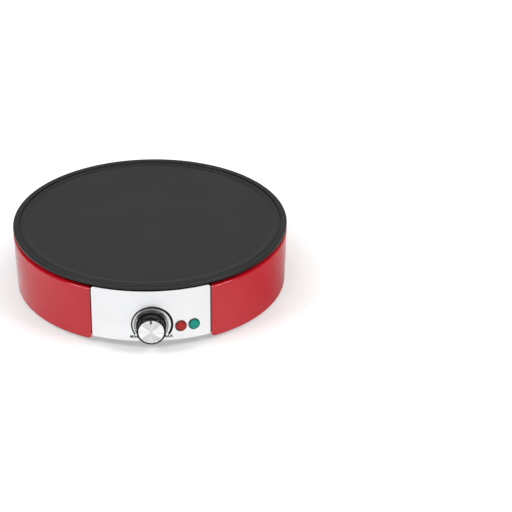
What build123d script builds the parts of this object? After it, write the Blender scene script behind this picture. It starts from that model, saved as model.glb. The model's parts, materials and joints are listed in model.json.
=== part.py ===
from build123d import *
from math import cos, radians, sin, sqrt
import os

# Round electric crepe maker. Millimetres. The origin is on the drum's axis at table level,
# +Z is up and the control panel faces -Y. Angles named "turn" are measured from the front,
# positive towards +X.

# ---------------------------------------------------------------- driving dimensions
overall_height = 80.0

# fits and running gaps
seat_gap = 0.2          # parts that bear on a curved face
slip_gap = 0.1          # radial room of a part pushed through a hole
screw_gap = 0.05        # radial room of a screw in its tapped hole
running_gap = 0.05      # radial room of a turning shaft
slide_gap = 0.3         # room beside the keyed adjuster

# hot plate
plate_radius = 160.0
rim_height = 4.0
rim_width = 7.0
rim_round = 1.4
groove_width = 1.2
groove_depth = 1.6
ledge_width = 4.0
ledge_depth = 1.2       # ledge below the rim
cook_depth = 2.0        # cooking surface below the rim
slope_width = 3.0       # from the ledge down to the cooking surface
plate_thickness = 5.0
rim_overhang = 9.0      # how far the thin rim reaches past the plate's body
underside_slope = 5.0

# side wall
wall_thickness = 1.2
wall_draft = 2.0        # foot circle smaller than the shoulder circle
wall_foot_height = 4.7
wall_top_drop = 5.3     # rim underside to the wall's shoulder edge
wall_edge_round = 1.5
wall_corner_round = 5.0
shoulder_width = 11.0
shoulder_rise = 1.1
foot_flange_width = 18.0

# control panel and its carrier
panel_half_width = 66.2
panel_bottom = 10.6
panel_top_gap = 1.6     # below the plate's rim
panel_thickness = 1.2
panel_top_round = 3.5
panel_bottom_round = 1.5
panel_side_gap = 1.2    # to the ends of the side wall
panel_lip_relief = 1.0  # from a rounded corner to the folded lip
carrier_thickness = 2.5
carrier_wing = 7.0      # reach behind the ends of the side wall
carrier_ledge_thickness = 2.0
carrier_lug_angle = 19.0
carrier_lug_radius = 5.0
carrier_pad_depth = 6.0  # flat seat of the thermostat behind the carrier's skin

# knob
knob_height = 31.4
knob_radius = 16.0
knob_length = 15.0
knob_flare = 0.9         # wider at the front than at the skirt
knob_wall = 1.8
knob_face = 2.6
knob_back_gap = 0.7
knob_groove = 0.6
skirt_radius = 19.4
skirt_rim = 0.9         # straight edge under the skirt's cone
skirt_thickness = 2.2
skirt_wall = 1.2
cap_radius = 14.3
cap_thickness = 1.0
cap_proud = 0.3
pointer_width = 1.3
pointer_length = 4.6
hub_radius = 6.5

# thermostat
spindle_radius = 3.0
spindle_flat = 1.6      # height of the flat above the axis
spindle_tip_gap = 0.8
collar_radius = 5.0
collar_thickness = 2.0
thread_radius = 2.5
thread_length = 12.0
bush_radius = 5.0
bracket_thickness = 1.2
bracket_width = 44.0
housing_width = 36.0
housing_height = 34.0
housing_depth = 24.0
housing_wall = 2.0
adjuster_width = 12.0
adjuster_thickness = 5.0
adjuster_setback = 4.0
capsule_radius = 8.0
capsule_thickness = 3.0
blade_thickness = 0.4
blade_width = 6.0
contact_radius = 1.5
contact_thickness = 0.8
tab_width = 6.3
tab_thickness = 0.8
tab_reach = 9.0
tab_spacing = 20.0
thermostat_screw_spacing = 28.0
thermostat_screw_radius = 2.0
thermostat_screw_head = 3.0

# indicator lamps
lens_turns = {"red": 11.9, "green": 17.4}
lamp_height = 27.8
lens_radius = 6.5
lens_rim = 1.0
lens_dome = 1.7
lens_body_radius = 5.0
lens_wall = 1.1
lens_body_length = 9.0
holder_wall = 1.1
holder_length = 12.0
bulb_radius = 3.0
bulb_length = 12.0
lead_radius = 0.6
lead_spread = 1.7       # of a bulb's two leads, from its axis
resistor_radius = 1.3
resistor_length = 8.0
lamp_wire_radius = 0.8

# heating
element_radius = 3.25
outer_loop = 112.0
inner_loop = 62.0
element_bend = 10.0
element_tail = 8.0
terminal_angle = 16.0   # counted from +X, as are the next two
turn_back_angle = 331.0
first_boss_angle = 0.0
boss_count = 3
boss_radius = 7.0
clamp_boss_radius = 5.0
clamp_width = 12.0
clamp_thickness = 1.5
clamp_overhang = 6.0
reflector_drop = 14.2   # plate underside to the reflector's face
reflector_radius = 120.0
reflector_flare = 16.0
reflector_lip = 8.0
reflector_thickness = 0.8
pin_radius = 1.2
pin_length = 12.0
seal_radius = 4.2
seal_length = 5.0

# sensor, fuse and earth on the plate's underside
sensor_radius = 2.5
sensor_length = 60.0
sensor_offset = 88.0
sensor_clip_spacing = 36.0
capillary_radius = 0.6
capillary_run = 12.0    # from the bulb to the bend down
fuse_radius = 2.0
fuse_length = 11.0
fuse_offset = 40.0
sleeve_wall = 1.0
sleeve_length = 30.0
fuse_lead_run = 11.0    # from the sleeve to the bend down
clip_thickness = 1.0
clip_width = 8.0
clip_reach = 12.0
earth_tag_x = -35.0
earth_tag_y = -14.0
earth_tag_radius = 4.0
earth_tag_thickness = 0.8

# base
pan_inset = 8.0         # pan's rim inside the wall's foot
pan_thickness = 2.5
pan_rim_thickness = 2.5
pan_rim_gap = 0.3       # to the carrier's ledge above it
column_radius = 8.0
column_height = 11.6
vent_count = 12
vent_circle = 62.0
vent_length = 24.0
vent_width = 3.0
foot_inset = 40.0       # feet inside the wall's foot
foot_radius = 9.0
foot_taper = 1.0
foot_stem_radius = 2.6
foot_barb = 1.2
foot_barb_height = 3.0
base_screw_inset = 14.0
base_screw_turns = (40.0, 100.0, 155.0, -40.0, -100.0, -155.0)
base_boss_radius = 4.0
base_boss_height = 8.0

# screws: shank radius, head radius, head height
large_screw = (2.0, 3.8, 2.6)
small_screw = (1.5, 2.9, 2.0)
large_thread_depth = 10.0
clip_screw_depth = 3.0

# cord gland at the rear
gland_height = 21.0
gland_bore_radius = 3.6
gland_body_radius = 7.8
gland_flange_radius = 10.5
gland_flange_thickness = 2.4
gland_inner_length = 8.0

# terminal block and wiring
block_width = 34.0
block_depth = 16.0
block_height = 14.0
block_inset = 50.0      # block's middle inside the wall's foot
block_pitch = 10.0
block_bore = 2.2
wire_radius = 1.2
wire_bend = 7.0
connector_length = 9.0
connector_width = 7.4
connector_height = 3.2
wire_exit = 22.0        # straight run out of the terminal block
live_rise = 10.0
fused_drop = 14.0
fused_low = 8.0
fused_turn = 70.0
switched_run = 20.0
switched_back = 40.0
switched_rise = 4.0
neutral_back = 30.0
neutral_rise = 3.0
pin_drop = 24.0         # below the ends of the element's pins
earth_side = 14.0
earth_back = 40.0
earth_low = 6.0
earth_high = 16.0
lamp_lift = 12.0        # of the red lamp's feed over the green one's
lamp_side = 8.0
lamp_feed_run = 10.0
lamp_return_run = 14.0
lamp_return_turn = 62.0
lamp_return_step = 8.0

# ---------------------------------------------------------------- levels and radii
rim_top = overall_height
rim_under = rim_top - rim_height
cook_level = rim_top - cook_depth
plate_under = cook_level - plate_thickness
body_radius = plate_radius - rim_overhang
wall_top = rim_under - wall_top_drop
wall_foot_radius = plate_radius - wall_draft
pan_radius = wall_foot_radius - pan_inset
base_screw_circle = wall_foot_radius - base_screw_inset
foot_circle = wall_foot_radius - foot_inset
panel_top = rim_under - panel_top_gap
panel_inner = plate_radius - panel_thickness
carrier_outer = wall_foot_radius - wall_thickness - seat_gap
carrier_inner = carrier_outer - carrier_thickness
pan_bottom = wall_foot_height + wall_thickness
pan_top = pan_bottom + pan_thickness
pan_rim_top = panel_bottom - pan_rim_gap
column_top = pan_top + column_height
element_level = plate_under - seat_gap - element_radius
clamp_top = element_level - element_radius - seat_gap
reflector_top = plate_under - reflector_drop
reflector_under = reflector_top - reflector_thickness
middle_loop = (outer_loop + inner_loop) / 2
large_shank, large_head, large_head_height = large_screw
small_shank, small_head, small_head_height = small_screw

pad_level = carrier_inner - carrier_pad_depth + carrier_thickness
bracket_back = pad_level - bracket_thickness
housing_back = bracket_back - housing_depth
inner_back = housing_back + housing_wall
collar_back = bracket_back - seat_gap - collar_thickness
thread_end = collar_back - thread_length
blade_face = thread_end - 4 * blade_thickness
tab_level = knob_height - housing_height / 4


# ---------------------------------------------------------------- helpers
def around(radius, angle):
    """Point on a circle about the drum's axis, the angle in degrees from +X."""
    return radius * cos(radians(angle)), radius * sin(radians(angle))


def from_front(radius, turn):
    """Point on a circle about the drum's axis, the turn in degrees from the front."""
    return radius * sin(radians(turn)), -radius * cos(radians(turn))


def facing(turn, height):
    """Outward plane through the drum's axis: local z points out of the drum."""
    out = (sin(radians(turn)), -cos(radians(turn)), 0)
    side = (cos(radians(turn)), sin(radians(turn)), 0)
    return Plane(origin=(0, 0, height), x_dir=side, z_dir=out)


def lengthwise(turn, height):
    """Plane that holds an outward axis: local x is the radius, local y the way out."""
    side = (cos(radians(turn)), sin(radians(turn)), 0)
    return Plane(origin=(0, 0, height), x_dir=side, z_dir=(0, 0, -1))


def outward_axis(turn, height):
    """Axis that points out of the drum at one turn and height."""
    return Axis((0, 0, height), (sin(radians(turn)), -cos(radians(turn)), 0))


def outline(plane, points):
    """Closed straight-sided face on a plane."""
    with BuildSketch(plane) as face:
        with BuildLine():
            Polyline(*points, close=True)
        make_face()
    return face.sketch


def turned(plane, axis, points, mode=Mode.ADD):
    """Revolve a closed profile of (radius, distance) points about an axis."""
    revolve(outline(plane, points), axis=axis, mode=mode)


def disc(plane, radius, length, mode=Mode.ADD):
    """Cylinder that starts on a plane and runs along its normal."""
    with BuildSketch(plane) as face:
        Circle(radius)
    extrude(face.sketch, amount=length, mode=mode)


def screws_up(points, head_level, shank, head, head_height, length):
    """Pan head screws whose heads hang below one level and whose shanks stand above it."""
    for x, y in points:
        seat = Plane((x, y, head_level - head_height))
        disc(seat, head, head_height)
        disc(seat.offset(head_height), shank, length)
        with BuildSketch(seat) as cross:
            Rectangle(head * 1.3, head * 0.25)
            Rectangle(head * 0.25, head * 1.3)
        extrude(cross.sketch, amount=head_height * 0.5, mode=Mode.SUBTRACT)


def sector(inner, outer, low, high, half_width):
    """Stretch of a ring wall at the front, cut off square at both sides."""
    with BuildSketch(Plane.XY.offset(low)) as band:
        Circle(outer)
        Circle(inner, mode=Mode.SUBTRACT)
        with Locations((0, -outer)):
            Rectangle(2 * half_width, outer, mode=Mode.INTERSECT)
    extrude(band.sketch, amount=high - low)


def lay_wire(points, radius, bend):
    """Round lead along straight runs joined by tangent arcs."""
    first = Vector(*points[0])
    with BuildLine() as route:
        FilletPolyline(*points, radius=bend)
    with BuildSketch(Plane(origin=first, z_dir=Vector(*points[1]) - first)) as section:
        Circle(radius)
    sweep(section.sketch, path=route.line)


def save(part, name):
    """Label one finished piece and write it."""
    part.label = name
    export_step(part, f"parts/{name}.step")


os.makedirs("parts", exist_ok=True)

boss_points = [around(middle_loop, first_boss_angle + i * 360 / boss_count) for i in range(boss_count)]
clamp_angles = [first_boss_angle + (i + 0.5) * 360 / boss_count for i in range(boss_count)]
clamp_points = [around(middle_loop, angle) for angle in clamp_angles]

# ---------------------------------------------------------------- hot plate
sensor_level = plate_under - seat_gap - clip_thickness - sensor_radius
sleeve_radius = fuse_radius + slip_gap + sleeve_wall
fuse_level = plate_under - seat_gap - clip_thickness - sleeve_radius
clip_screw_points = [
    (-sensor_clip_spacing / 2, -sensor_offset + clip_reach),
    (sensor_clip_spacing / 2, -sensor_offset + clip_reach),
    (0, fuse_offset - clip_reach),
    (earth_tag_x, earth_tag_y),
]

groove_outer = plate_radius - rim_width
ledge_outer = groove_outer - groove_width
slope_outer = ledge_outer - ledge_width
with BuildPart() as hot_plate:
    turned(Plane.XZ, Axis.Z, [
        (0, plate_under),
        (body_radius - underside_slope, plate_under),
        (body_radius, rim_under),
        (plate_radius, rim_under),
        (plate_radius, rim_top - rim_round),
        (plate_radius - rim_round, rim_top),
        (groove_outer, rim_top),
        (groove_outer, rim_top - groove_depth),
        (ledge_outer, rim_top - groove_depth),
        (ledge_outer, rim_top - ledge_depth),
        (slope_outer, rim_top - ledge_depth),
        (slope_outer - slope_width, cook_level),
        (0, cook_level),
    ])
    with BuildSketch(Plane.XY.offset(reflector_top)):
        with Locations(*boss_points):
            Circle(boss_radius)
    extrude(amount=reflector_drop)
    with BuildSketch(Plane.XY.offset(clamp_top)):
        with Locations(*clamp_points):
            Circle(clamp_boss_radius)
    extrude(amount=plate_under - clamp_top)
    with BuildSketch(Plane.XY.offset(reflector_top)):
        with Locations(*boss_points):
            Circle(large_shank + screw_gap)
    extrude(amount=large_thread_depth + 1, mode=Mode.SUBTRACT)
    with BuildSketch(Plane.XY.offset(clamp_top)):
        with Locations(*clamp_points):
            Circle(small_shank + screw_gap)
    extrude(amount=plate_under - clamp_top, mode=Mode.SUBTRACT)
    with BuildSketch(Plane.XY.offset(plate_under)):
        with Locations(*clip_screw_points):
            Circle(small_shank + screw_gap)
    extrude(amount=clip_screw_depth + 0.5, mode=Mode.SUBTRACT)
save(hot_plate.part, "hot_plate")

# ---------------------------------------------------------------- heating element
# Two loops in a hairpin: out along the large circle, back along the small one. Both ends
# bend down through the reflector.
loop_gap = (outer_loop - inner_loop) / 2


def loop_end(radius):
    """Straight tail and quarter bend below one end of a loop, from the bottom up."""
    end = Vector(*around(radius, terminal_angle), element_level)
    back = Vector(sin(radians(terminal_angle)), -cos(radians(terminal_angle)), 0)
    low = end + back * element_bend - Vector(0, 0, element_bend)
    half_turn = sin(radians(45))
    middle = end + back * element_bend * half_turn - Vector(0, 0, element_bend * (1 - half_turn))
    return low - Vector(0, 0, element_tail), low, middle, end


def level_point(radius, angle):
    """Point on a circle at the element's level."""
    return Vector(*around(radius, angle), element_level)


outer_foot, outer_low, outer_middle, outer_end = loop_end(outer_loop)
inner_foot, inner_low, inner_middle, inner_end = loop_end(inner_loop)
half_way = (terminal_angle + turn_back_angle) / 2
turn_apex = level_point(middle_loop, turn_back_angle) + Vector(
    -sin(radians(turn_back_angle)), cos(radians(turn_back_angle)), 0) * loop_gap

with BuildPart() as heating_element:
    with BuildLine():
        Line(outer_foot, outer_low)
        ThreePointArc(outer_low, outer_middle, outer_end)
        ThreePointArc(outer_end, level_point(outer_loop, half_way),
                      level_point(outer_loop, turn_back_angle))
        ThreePointArc(level_point(outer_loop, turn_back_angle), turn_apex,
                      level_point(inner_loop, turn_back_angle))
        ThreePointArc(level_point(inner_loop, turn_back_angle),
                      level_point(inner_loop, half_way), inner_end)
        ThreePointArc(inner_end, inner_middle, inner_low)
        Line(inner_low, inner_foot)
    with BuildSketch(Plane(outer_foot)):
        Circle(element_radius)
    sweep()
save(heating_element.part, "heating_element")

element_feet = [outer_foot, inner_foot]
with BuildPart() as element_seals:
    for foot in element_feet:
        seal = Plane(foot - Vector(0, 0, seal_length))
        disc(seal, seal_radius, seal_length)
        disc(seal, pin_radius + slip_gap, seal_length, Mode.SUBTRACT)
save(element_seals.part, "element_seals")

with BuildPart() as element_pins:
    for foot in element_feet:
        disc(Plane(foot - Vector(0, 0, pin_length)), pin_radius, pin_length)
save(element_pins.part, "element_pins")

with BuildPart() as element_clamps:
    clamp_span = outer_loop - inner_loop + 2 * (element_radius + clamp_overhang)
    for angle in clamp_angles:
        x, y = around(middle_loop, angle)
        strap = Plane((x, y, clamp_top - clamp_thickness), x_dir=(*around(1, angle), 0))
        with BuildSketch(strap):
            SlotOverall(clamp_span, clamp_width)
            Circle(small_shank + slip_gap, mode=Mode.SUBTRACT)
        extrude(amount=clamp_thickness)
save(element_clamps.part, "element_clamps")

with BuildPart() as clamp_screws:
    screws_up(clamp_points, clamp_top - clamp_thickness, small_shank, small_head,
              small_head_height, plate_under - clamp_top)
save(clamp_screws.part, "clamp_screws")

# ---------------------------------------------------------------- heat reflector
capillary_drop_x = -sensor_length / 2 - capillary_run
fuse_lead_x = sleeve_length / 2 + fuse_lead_run
wire_holes = [
    (fuse_lead_x, fuse_offset),
    (-fuse_lead_x, fuse_offset),
    (earth_tag_x - earth_side, earth_tag_y),
    (capillary_drop_x, -sensor_offset),
]
with BuildPart() as heat_reflector:
    turned(Plane.XZ, Axis.Z, [
        (0, reflector_under),
        (reflector_radius, reflector_under),
        (reflector_radius + reflector_flare, reflector_under + reflector_lip),
        (reflector_radius + reflector_flare, reflector_top + reflector_lip),
        (reflector_radius - reflector_thickness / 2, reflector_top),
        (0, reflector_top),
    ])
    with BuildSketch(Plane.XY.offset(reflector_under)):
        with Locations(*boss_points):
            Circle(large_shank + slip_gap)
        with Locations(*[(foot.X, foot.Y) for foot in element_feet]):
            Circle(element_radius + 5 * slide_gap)
        with Locations(*wire_holes):
            Circle(4 * wire_radius)
    extrude(amount=reflector_thickness, mode=Mode.SUBTRACT)
save(heat_reflector.part, "heat_reflector")

with BuildPart() as plate_spacers:
    with BuildSketch(Plane.XY.offset(column_top)):
        with Locations(*boss_points):
            Circle(boss_radius - 2 * wall_thickness)
            Circle(large_shank + slip_gap, mode=Mode.SUBTRACT)
    extrude(amount=reflector_under - column_top)
save(plate_spacers.part, "plate_spacers")

column_seat = pan_top + column_height / 2
with BuildPart() as plate_screws:
    screws_up(boss_points, column_seat, large_shank, large_head, large_head_height,
              reflector_top + large_thread_depth - column_seat)
save(plate_screws.part, "plate_screws")

# ---------------------------------------------------------------- side wall
opening_half_width = panel_half_width + panel_side_gap
wall_outer = [(wall_foot_radius, wall_foot_height), (plate_radius, wall_top)]
shoulder_end = (plate_radius - shoulder_width, wall_top + shoulder_rise)
flange_end = wall_foot_radius - foot_flange_width
wall_slope = wall_draft / (wall_top - wall_foot_height)
gland_radius = wall_foot_radius + wall_slope * (gland_height - wall_foot_height)
with BuildPart() as side_wall:
    turned(Plane.XZ, Axis.Z, [
        (flange_end, wall_foot_height),
        (wall_foot_radius, wall_foot_height),
        (plate_radius, wall_top),
        shoulder_end,
        (shoulder_end[0], shoulder_end[1] - wall_thickness),
        (plate_radius - wall_thickness, wall_top - wall_thickness),
        (wall_foot_radius - wall_thickness, wall_foot_height + wall_thickness),
        (flange_end, wall_foot_height + wall_thickness),
    ])
    shoulder_edge = side_wall.edges().filter_by(GeomType.CIRCLE).filter_by(
        lambda e: abs(e.radius - plate_radius) < 0.01)
    foot_edge = side_wall.edges().filter_by(GeomType.CIRCLE).filter_by(
        lambda e: abs(e.radius - wall_foot_radius) < 0.01)
    fillet(shoulder_edge, wall_edge_round)
    fillet(foot_edge, wall_edge_round / 2)
    # opening for the panel; the wall's lower corners beside it are rounded
    low_line = wall_foot_height - wall_corner_round
    with BuildSketch(Plane.XZ):
        with BuildLine():
            right = Line((opening_half_width, rim_top),
                         (opening_half_width, wall_foot_height + wall_corner_round))
            corner = RadiusArc(right @ 1, (opening_half_width + wall_corner_round,
                                           wall_foot_height), -wall_corner_round)
            Polyline(corner @ 1, (opening_half_width + wall_corner_round, low_line),
                     (-opening_half_width - wall_corner_round, low_line),
                     (-opening_half_width - wall_corner_round, wall_foot_height))
            left = RadiusArc((-opening_half_width - wall_corner_round, wall_foot_height),
                             (-opening_half_width, wall_foot_height + wall_corner_round),
                             -wall_corner_round)
            Polyline(left @ 1, (-opening_half_width, rim_top), right @ 0)
        make_face()
    extrude(amount=plate_radius + wall_thickness, mode=Mode.SUBTRACT)
    # screw holes in the foot flange and the gland's hole at the rear
    with BuildSketch(Plane.XY.offset(wall_foot_height)):
        with Locations(*[from_front(base_screw_circle, turn) for turn in base_screw_turns]):
            Circle(small_shank + slip_gap)
    extrude(amount=wall_thickness, mode=Mode.SUBTRACT)
    disc(facing(180, gland_height).offset(gland_radius - 3 * wall_thickness),
         gland_body_radius + slip_gap, 6 * wall_thickness, Mode.SUBTRACT)
save(side_wall.part, "side_wall")

# ---------------------------------------------------------------- control panel
lens_planes = {name: facing(turn, lamp_height) for name, turn in lens_turns.items()}
with BuildPart() as control_panel:
    # outline with rounded corners as seen from the front, cut to the drum's curve
    with BuildSketch(Plane.XZ):
        with Locations((0, (panel_bottom + panel_top) / 2)):
            Rectangle(2 * panel_half_width, panel_top - panel_bottom)
        corners = vertices().sort_by(Axis.Z)
        fillet(corners[-2:], panel_top_round)
        fillet(corners[:2], panel_bottom_round)
    extrude(amount=plate_radius + 1)
    with BuildSketch(Plane.XY):
        Circle(plate_radius)
        Circle(panel_inner, mode=Mode.SUBTRACT)
    extrude(amount=rim_top, mode=Mode.INTERSECT)
    # side lips, folded back to the carrier between the rounded corners
    lip_front = sqrt(plate_radius ** 2 - panel_half_width ** 2) - panel_thickness / 2
    lip_back = sqrt((carrier_outer + seat_gap) ** 2 - (panel_half_width - panel_thickness) ** 2)
    lip_low = panel_bottom + panel_bottom_round + panel_lip_relief
    lip_high = panel_top - panel_top_round - panel_lip_relief
    for side in (-1, 1):
        with BuildSketch(Plane.XY.offset(lip_low)):
            with Locations((side * (panel_half_width - panel_thickness / 2),
                            -(lip_front + lip_back) / 2)):
                Rectangle(panel_thickness, lip_front - lip_back)
        extrude(amount=lip_high - lip_low)
    disc(facing(0, knob_height), bush_radius + slip_gap, plate_radius + 1, Mode.SUBTRACT)
    for side in (-1, 1):
        with BuildSketch(facing(0, knob_height)):
            with Locations((side * thermostat_screw_spacing / 2, 0)):
                Circle(thermostat_screw_radius + slip_gap)
        extrude(amount=plate_radius + 1, mode=Mode.SUBTRACT)
    for plane in lens_planes.values():
        disc(plane, lens_body_radius + slip_gap, plate_radius + 1, Mode.SUBTRACT)
save(control_panel.part, "control_panel")

# ---------------------------------------------------------------- panel carrier
pad_outer = panel_inner - seat_gap
wing_top = wall_top - wall_thickness - seat_gap
pad_half_width = panel_half_width - panel_thickness - seat_gap
lug_circle = pan_radius - pan_rim_thickness - slide_gap - carrier_lug_radius
lug_points = [from_front(lug_circle, side * carrier_lug_angle) for side in (-1, 1)]
ledge_inner = lug_circle + carrier_lug_radius / 2
with BuildPart() as panel_carrier:
    sector(carrier_inner, carrier_outer, panel_bottom, wing_top,
           opening_half_width + carrier_wing)
    sector(carrier_inner, pad_outer, panel_bottom, panel_top - panel_thickness, pad_half_width)
    sector(ledge_inner, carrier_outer - slide_gap, panel_bottom,
           panel_bottom + carrier_ledge_thickness, pad_half_width)
    # flat seat for the thermostat's bracket
    with BuildSketch(facing(0, knob_height).offset(pad_level)):
        Rectangle(bracket_width + 2 * slide_gap, housing_height)
    extrude(amount=carrier_outer - pad_level - slide_gap)
    # room in the ledge for the thermostat and its bracket
    with BuildSketch(facing(0, knob_height).offset(housing_back)):
        Rectangle(bracket_width + 2 * slide_gap, housing_height + 2 * slide_gap)
    extrude(amount=pad_level - housing_back, mode=Mode.SUBTRACT)
    # lugs that stand on the base pan
    lug_height = panel_bottom + carrier_ledge_thickness - pan_top
    for x, y in lug_points:
        disc(Plane((x, y, pan_top)), carrier_lug_radius, lug_height)
        disc(Plane((x, y, pan_top)), small_shank + screw_gap, lug_height, Mode.SUBTRACT)
    disc(facing(0, knob_height), bush_radius + slip_gap, plate_radius, Mode.SUBTRACT)
    with BuildSketch(facing(0, knob_height)):
        with GridLocations(thermostat_screw_spacing, 0, 2, 1):
            Circle(thermostat_screw_radius + slip_gap)
    extrude(amount=plate_radius, mode=Mode.SUBTRACT)
    for plane in lens_planes.values():
        disc(plane, lens_body_radius + slip_gap, plate_radius, Mode.SUBTRACT)
save(panel_carrier.part, "panel_carrier")

with BuildPart() as carrier_screws:
    screws_up(lug_points, pan_bottom, small_shank, small_head, small_head_height,
              pan_thickness + panel_bottom - pan_top + carrier_ledge_thickness / 2)
save(carrier_screws.part, "carrier_screws")

# ---------------------------------------------------------------- base pan, feet, screws
foot_points = [around(foot_circle, 45 + i * 90) for i in range(4)]
base_screw_points = [from_front(base_screw_circle, turn) for turn in base_screw_turns]
with BuildPart() as base_pan:
    with BuildSketch(Plane.XY.offset(pan_bottom)):
        Circle(pan_radius)
    extrude(amount=pan_thickness)
    with BuildSketch(Plane.XY.offset(pan_top)):
        Circle(pan_radius)
        Circle(pan_radius - pan_rim_thickness, mode=Mode.SUBTRACT)
    extrude(amount=pan_rim_top - pan_top)
    with BuildSketch(Plane.XY.offset(pan_top)):
        with Locations(*boss_points):
            Circle(column_radius)
    extrude(amount=column_height)
    with BuildSketch(Plane.XY.offset(pan_top)):
        with Locations(*base_screw_points):
            Circle(base_boss_radius)
    extrude(amount=base_boss_height)
    with BuildSketch(Plane.XY.offset(pan_bottom)):
        with Locations(*boss_points):
            Circle(large_head + slide_gap)
    extrude(amount=column_seat - pan_bottom, mode=Mode.SUBTRACT)
    with BuildSketch(Plane.XY.offset(column_seat)):
        with Locations(*boss_points):
            Circle(large_shank + slip_gap)
    extrude(amount=column_top - column_seat, mode=Mode.SUBTRACT)
    with BuildSketch(Plane.XY.offset(pan_bottom)):
        with Locations(*foot_points):
            Circle(foot_stem_radius + slip_gap)
        with Locations(*lug_points):
            Circle(small_shank + slip_gap)
        with PolarLocations(vent_circle, vent_count):
            SlotOverall(vent_length, vent_width)
    extrude(amount=pan_thickness, mode=Mode.SUBTRACT)
    with BuildSketch(Plane.XY.offset(pan_bottom)):
        with Locations(*base_screw_points):
            Circle(small_shank + screw_gap)
    extrude(amount=pan_thickness + base_boss_height - 1, mode=Mode.SUBTRACT)
save(base_pan.part, "base_pan")

with BuildPart() as feet:
    for x, y in foot_points:
        axis = Axis((x, y, 0), (0, 0, 1))
        plane = Plane(origin=(x, y, 0), x_dir=(1, 0, 0), z_dir=(0, -1, 0))
        turned(plane, axis, [
            (0, 0),
            (foot_radius - 2 * foot_taper, 0),
            (foot_radius - foot_taper, foot_taper),
            (foot_radius, pan_bottom),
            (foot_stem_radius, pan_bottom),
            (foot_stem_radius, pan_top),
            (foot_stem_radius + foot_barb, pan_top),
            (foot_stem_radius - foot_barb / 2, pan_top + foot_barb_height),
            (0, pan_top + foot_barb_height),
        ])
save(feet.part, "feet")

with BuildPart() as base_screws:
    screws_up(base_screw_points, wall_foot_height, small_shank, small_head, small_head_height,
              wall_thickness + pan_thickness + base_boss_height - 2)
save(base_screws.part, "base_screws")

# ---------------------------------------------------------------- knob
knob_plane = lengthwise(0, knob_height)
knob_axis = outward_axis(0, knob_height)
knob_back = plate_radius + knob_back_gap
knob_front = plate_radius + knob_length
skirt_front = knob_back + skirt_thickness
cap_back = knob_front + cap_proud - cap_thickness
spindle_tip = cap_back - knob_face - spindle_tip_gap
flat_start = knob_back - seat_gap
flat_length = spindle_tip - flat_start
with BuildPart() as knob:
    turned(knob_plane, knob_axis, [
        (0, knob_back),
        (skirt_radius, knob_back),
        (skirt_radius, knob_back + skirt_rim),
        (knob_radius + knob_groove, skirt_front),
        (knob_radius - knob_groove, skirt_front),
        (knob_radius - knob_groove, skirt_front + knob_groove),
        (knob_radius, skirt_front + knob_groove),
        (knob_radius + knob_flare, knob_front - knob_groove),
        (knob_radius + knob_flare - knob_groove, knob_front),
        (0, knob_front),
    ])
    # hollow back around the hub, and the seat of the cap
    turned(knob_plane, knob_axis, [
        (hub_radius, knob_back),
        (skirt_radius - skirt_wall, knob_back),
        (skirt_radius - skirt_wall, knob_back + skirt_rim / 2),
        (knob_radius - knob_groove, skirt_front - knob_groove),
        (knob_radius - knob_wall, skirt_front - knob_groove),
        (knob_radius - knob_wall + knob_flare, cap_back - knob_face),
        (hub_radius, cap_back - knob_face),
    ], Mode.SUBTRACT)
    disc(facing(0, knob_height).offset(cap_back), cap_radius + slip_gap,
         knob_length, Mode.SUBTRACT)
    # pointer rib that fills the cap's notch
    with BuildSketch(facing(0, knob_height).offset(cap_back)):
        with Locations((0, cap_radius - pointer_length / 2)):
            Rectangle(pointer_width - 2 * slip_gap, pointer_length - slip_gap)
    extrude(amount=cap_thickness - cap_proud)
    # bore with a flat for the spindle and the leaf spring
    with BuildSketch(facing(0, knob_height).offset(knob_back)):
        Circle(spindle_radius + running_gap)
        with Locations((0, spindle_flat + 2 * blade_thickness - spindle_radius)):
            Rectangle(4 * spindle_radius, 2 * spindle_radius, mode=Mode.INTERSECT)
    extrude(amount=spindle_tip + spindle_tip_gap / 2 - knob_back, mode=Mode.SUBTRACT)
save(knob.part, "knob")

with BuildPart() as knob_cap:
    disc(facing(0, knob_height).offset(cap_back), cap_radius, cap_thickness)
    fillet(knob_cap.faces().sort_by(Axis.Y)[0].edges(), cap_proud / 2)
    with BuildSketch(facing(0, knob_height).offset(cap_back)):
        with Locations((0, cap_radius - pointer_length / 2 + slip_gap)):
            Rectangle(pointer_width, pointer_length + 2 * slip_gap)
    extrude(amount=cap_thickness, mode=Mode.SUBTRACT)
save(knob_cap.part, "knob_cap")

with BuildPart() as knob_clip:
    with BuildSketch(facing(0, knob_height).offset(knob_back + slide_gap)):
        with Locations((0, spindle_flat + blade_thickness)):
            Rectangle(spindle_radius, blade_thickness)
    extrude(amount=spindle_tip - knob_back - slide_gap)
save(knob_clip.part, "knob_clip")

# ---------------------------------------------------------------- thermostat
with BuildPart() as thermostat_spindle:
    turned(knob_plane, knob_axis, [
        (0, thread_end),
        (thread_radius, thread_end),
        (thread_radius, collar_back),
        (collar_radius, collar_back),
        (collar_radius, collar_back + collar_thickness),
        (spindle_radius, collar_back + collar_thickness),
        (spindle_radius, spindle_tip),
        (0, spindle_tip),
    ])
    with BuildSketch(facing(0, knob_height).offset(flat_start)):
        with Locations((0, spindle_flat + spindle_radius)):
            Rectangle(4 * spindle_radius, 2 * spindle_radius)
    extrude(amount=flat_length, mode=Mode.SUBTRACT)
save(thermostat_spindle.part, "thermostat_spindle")

bush_front = plate_radius - slide_gap
with BuildPart() as thermostat_bush:
    disc(facing(0, knob_height).offset(bracket_back), bush_radius, bush_front - bracket_back)
    disc(facing(0, knob_height), spindle_radius + running_gap, plate_radius, Mode.SUBTRACT)
save(thermostat_bush.part, "thermostat_bush")

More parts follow.
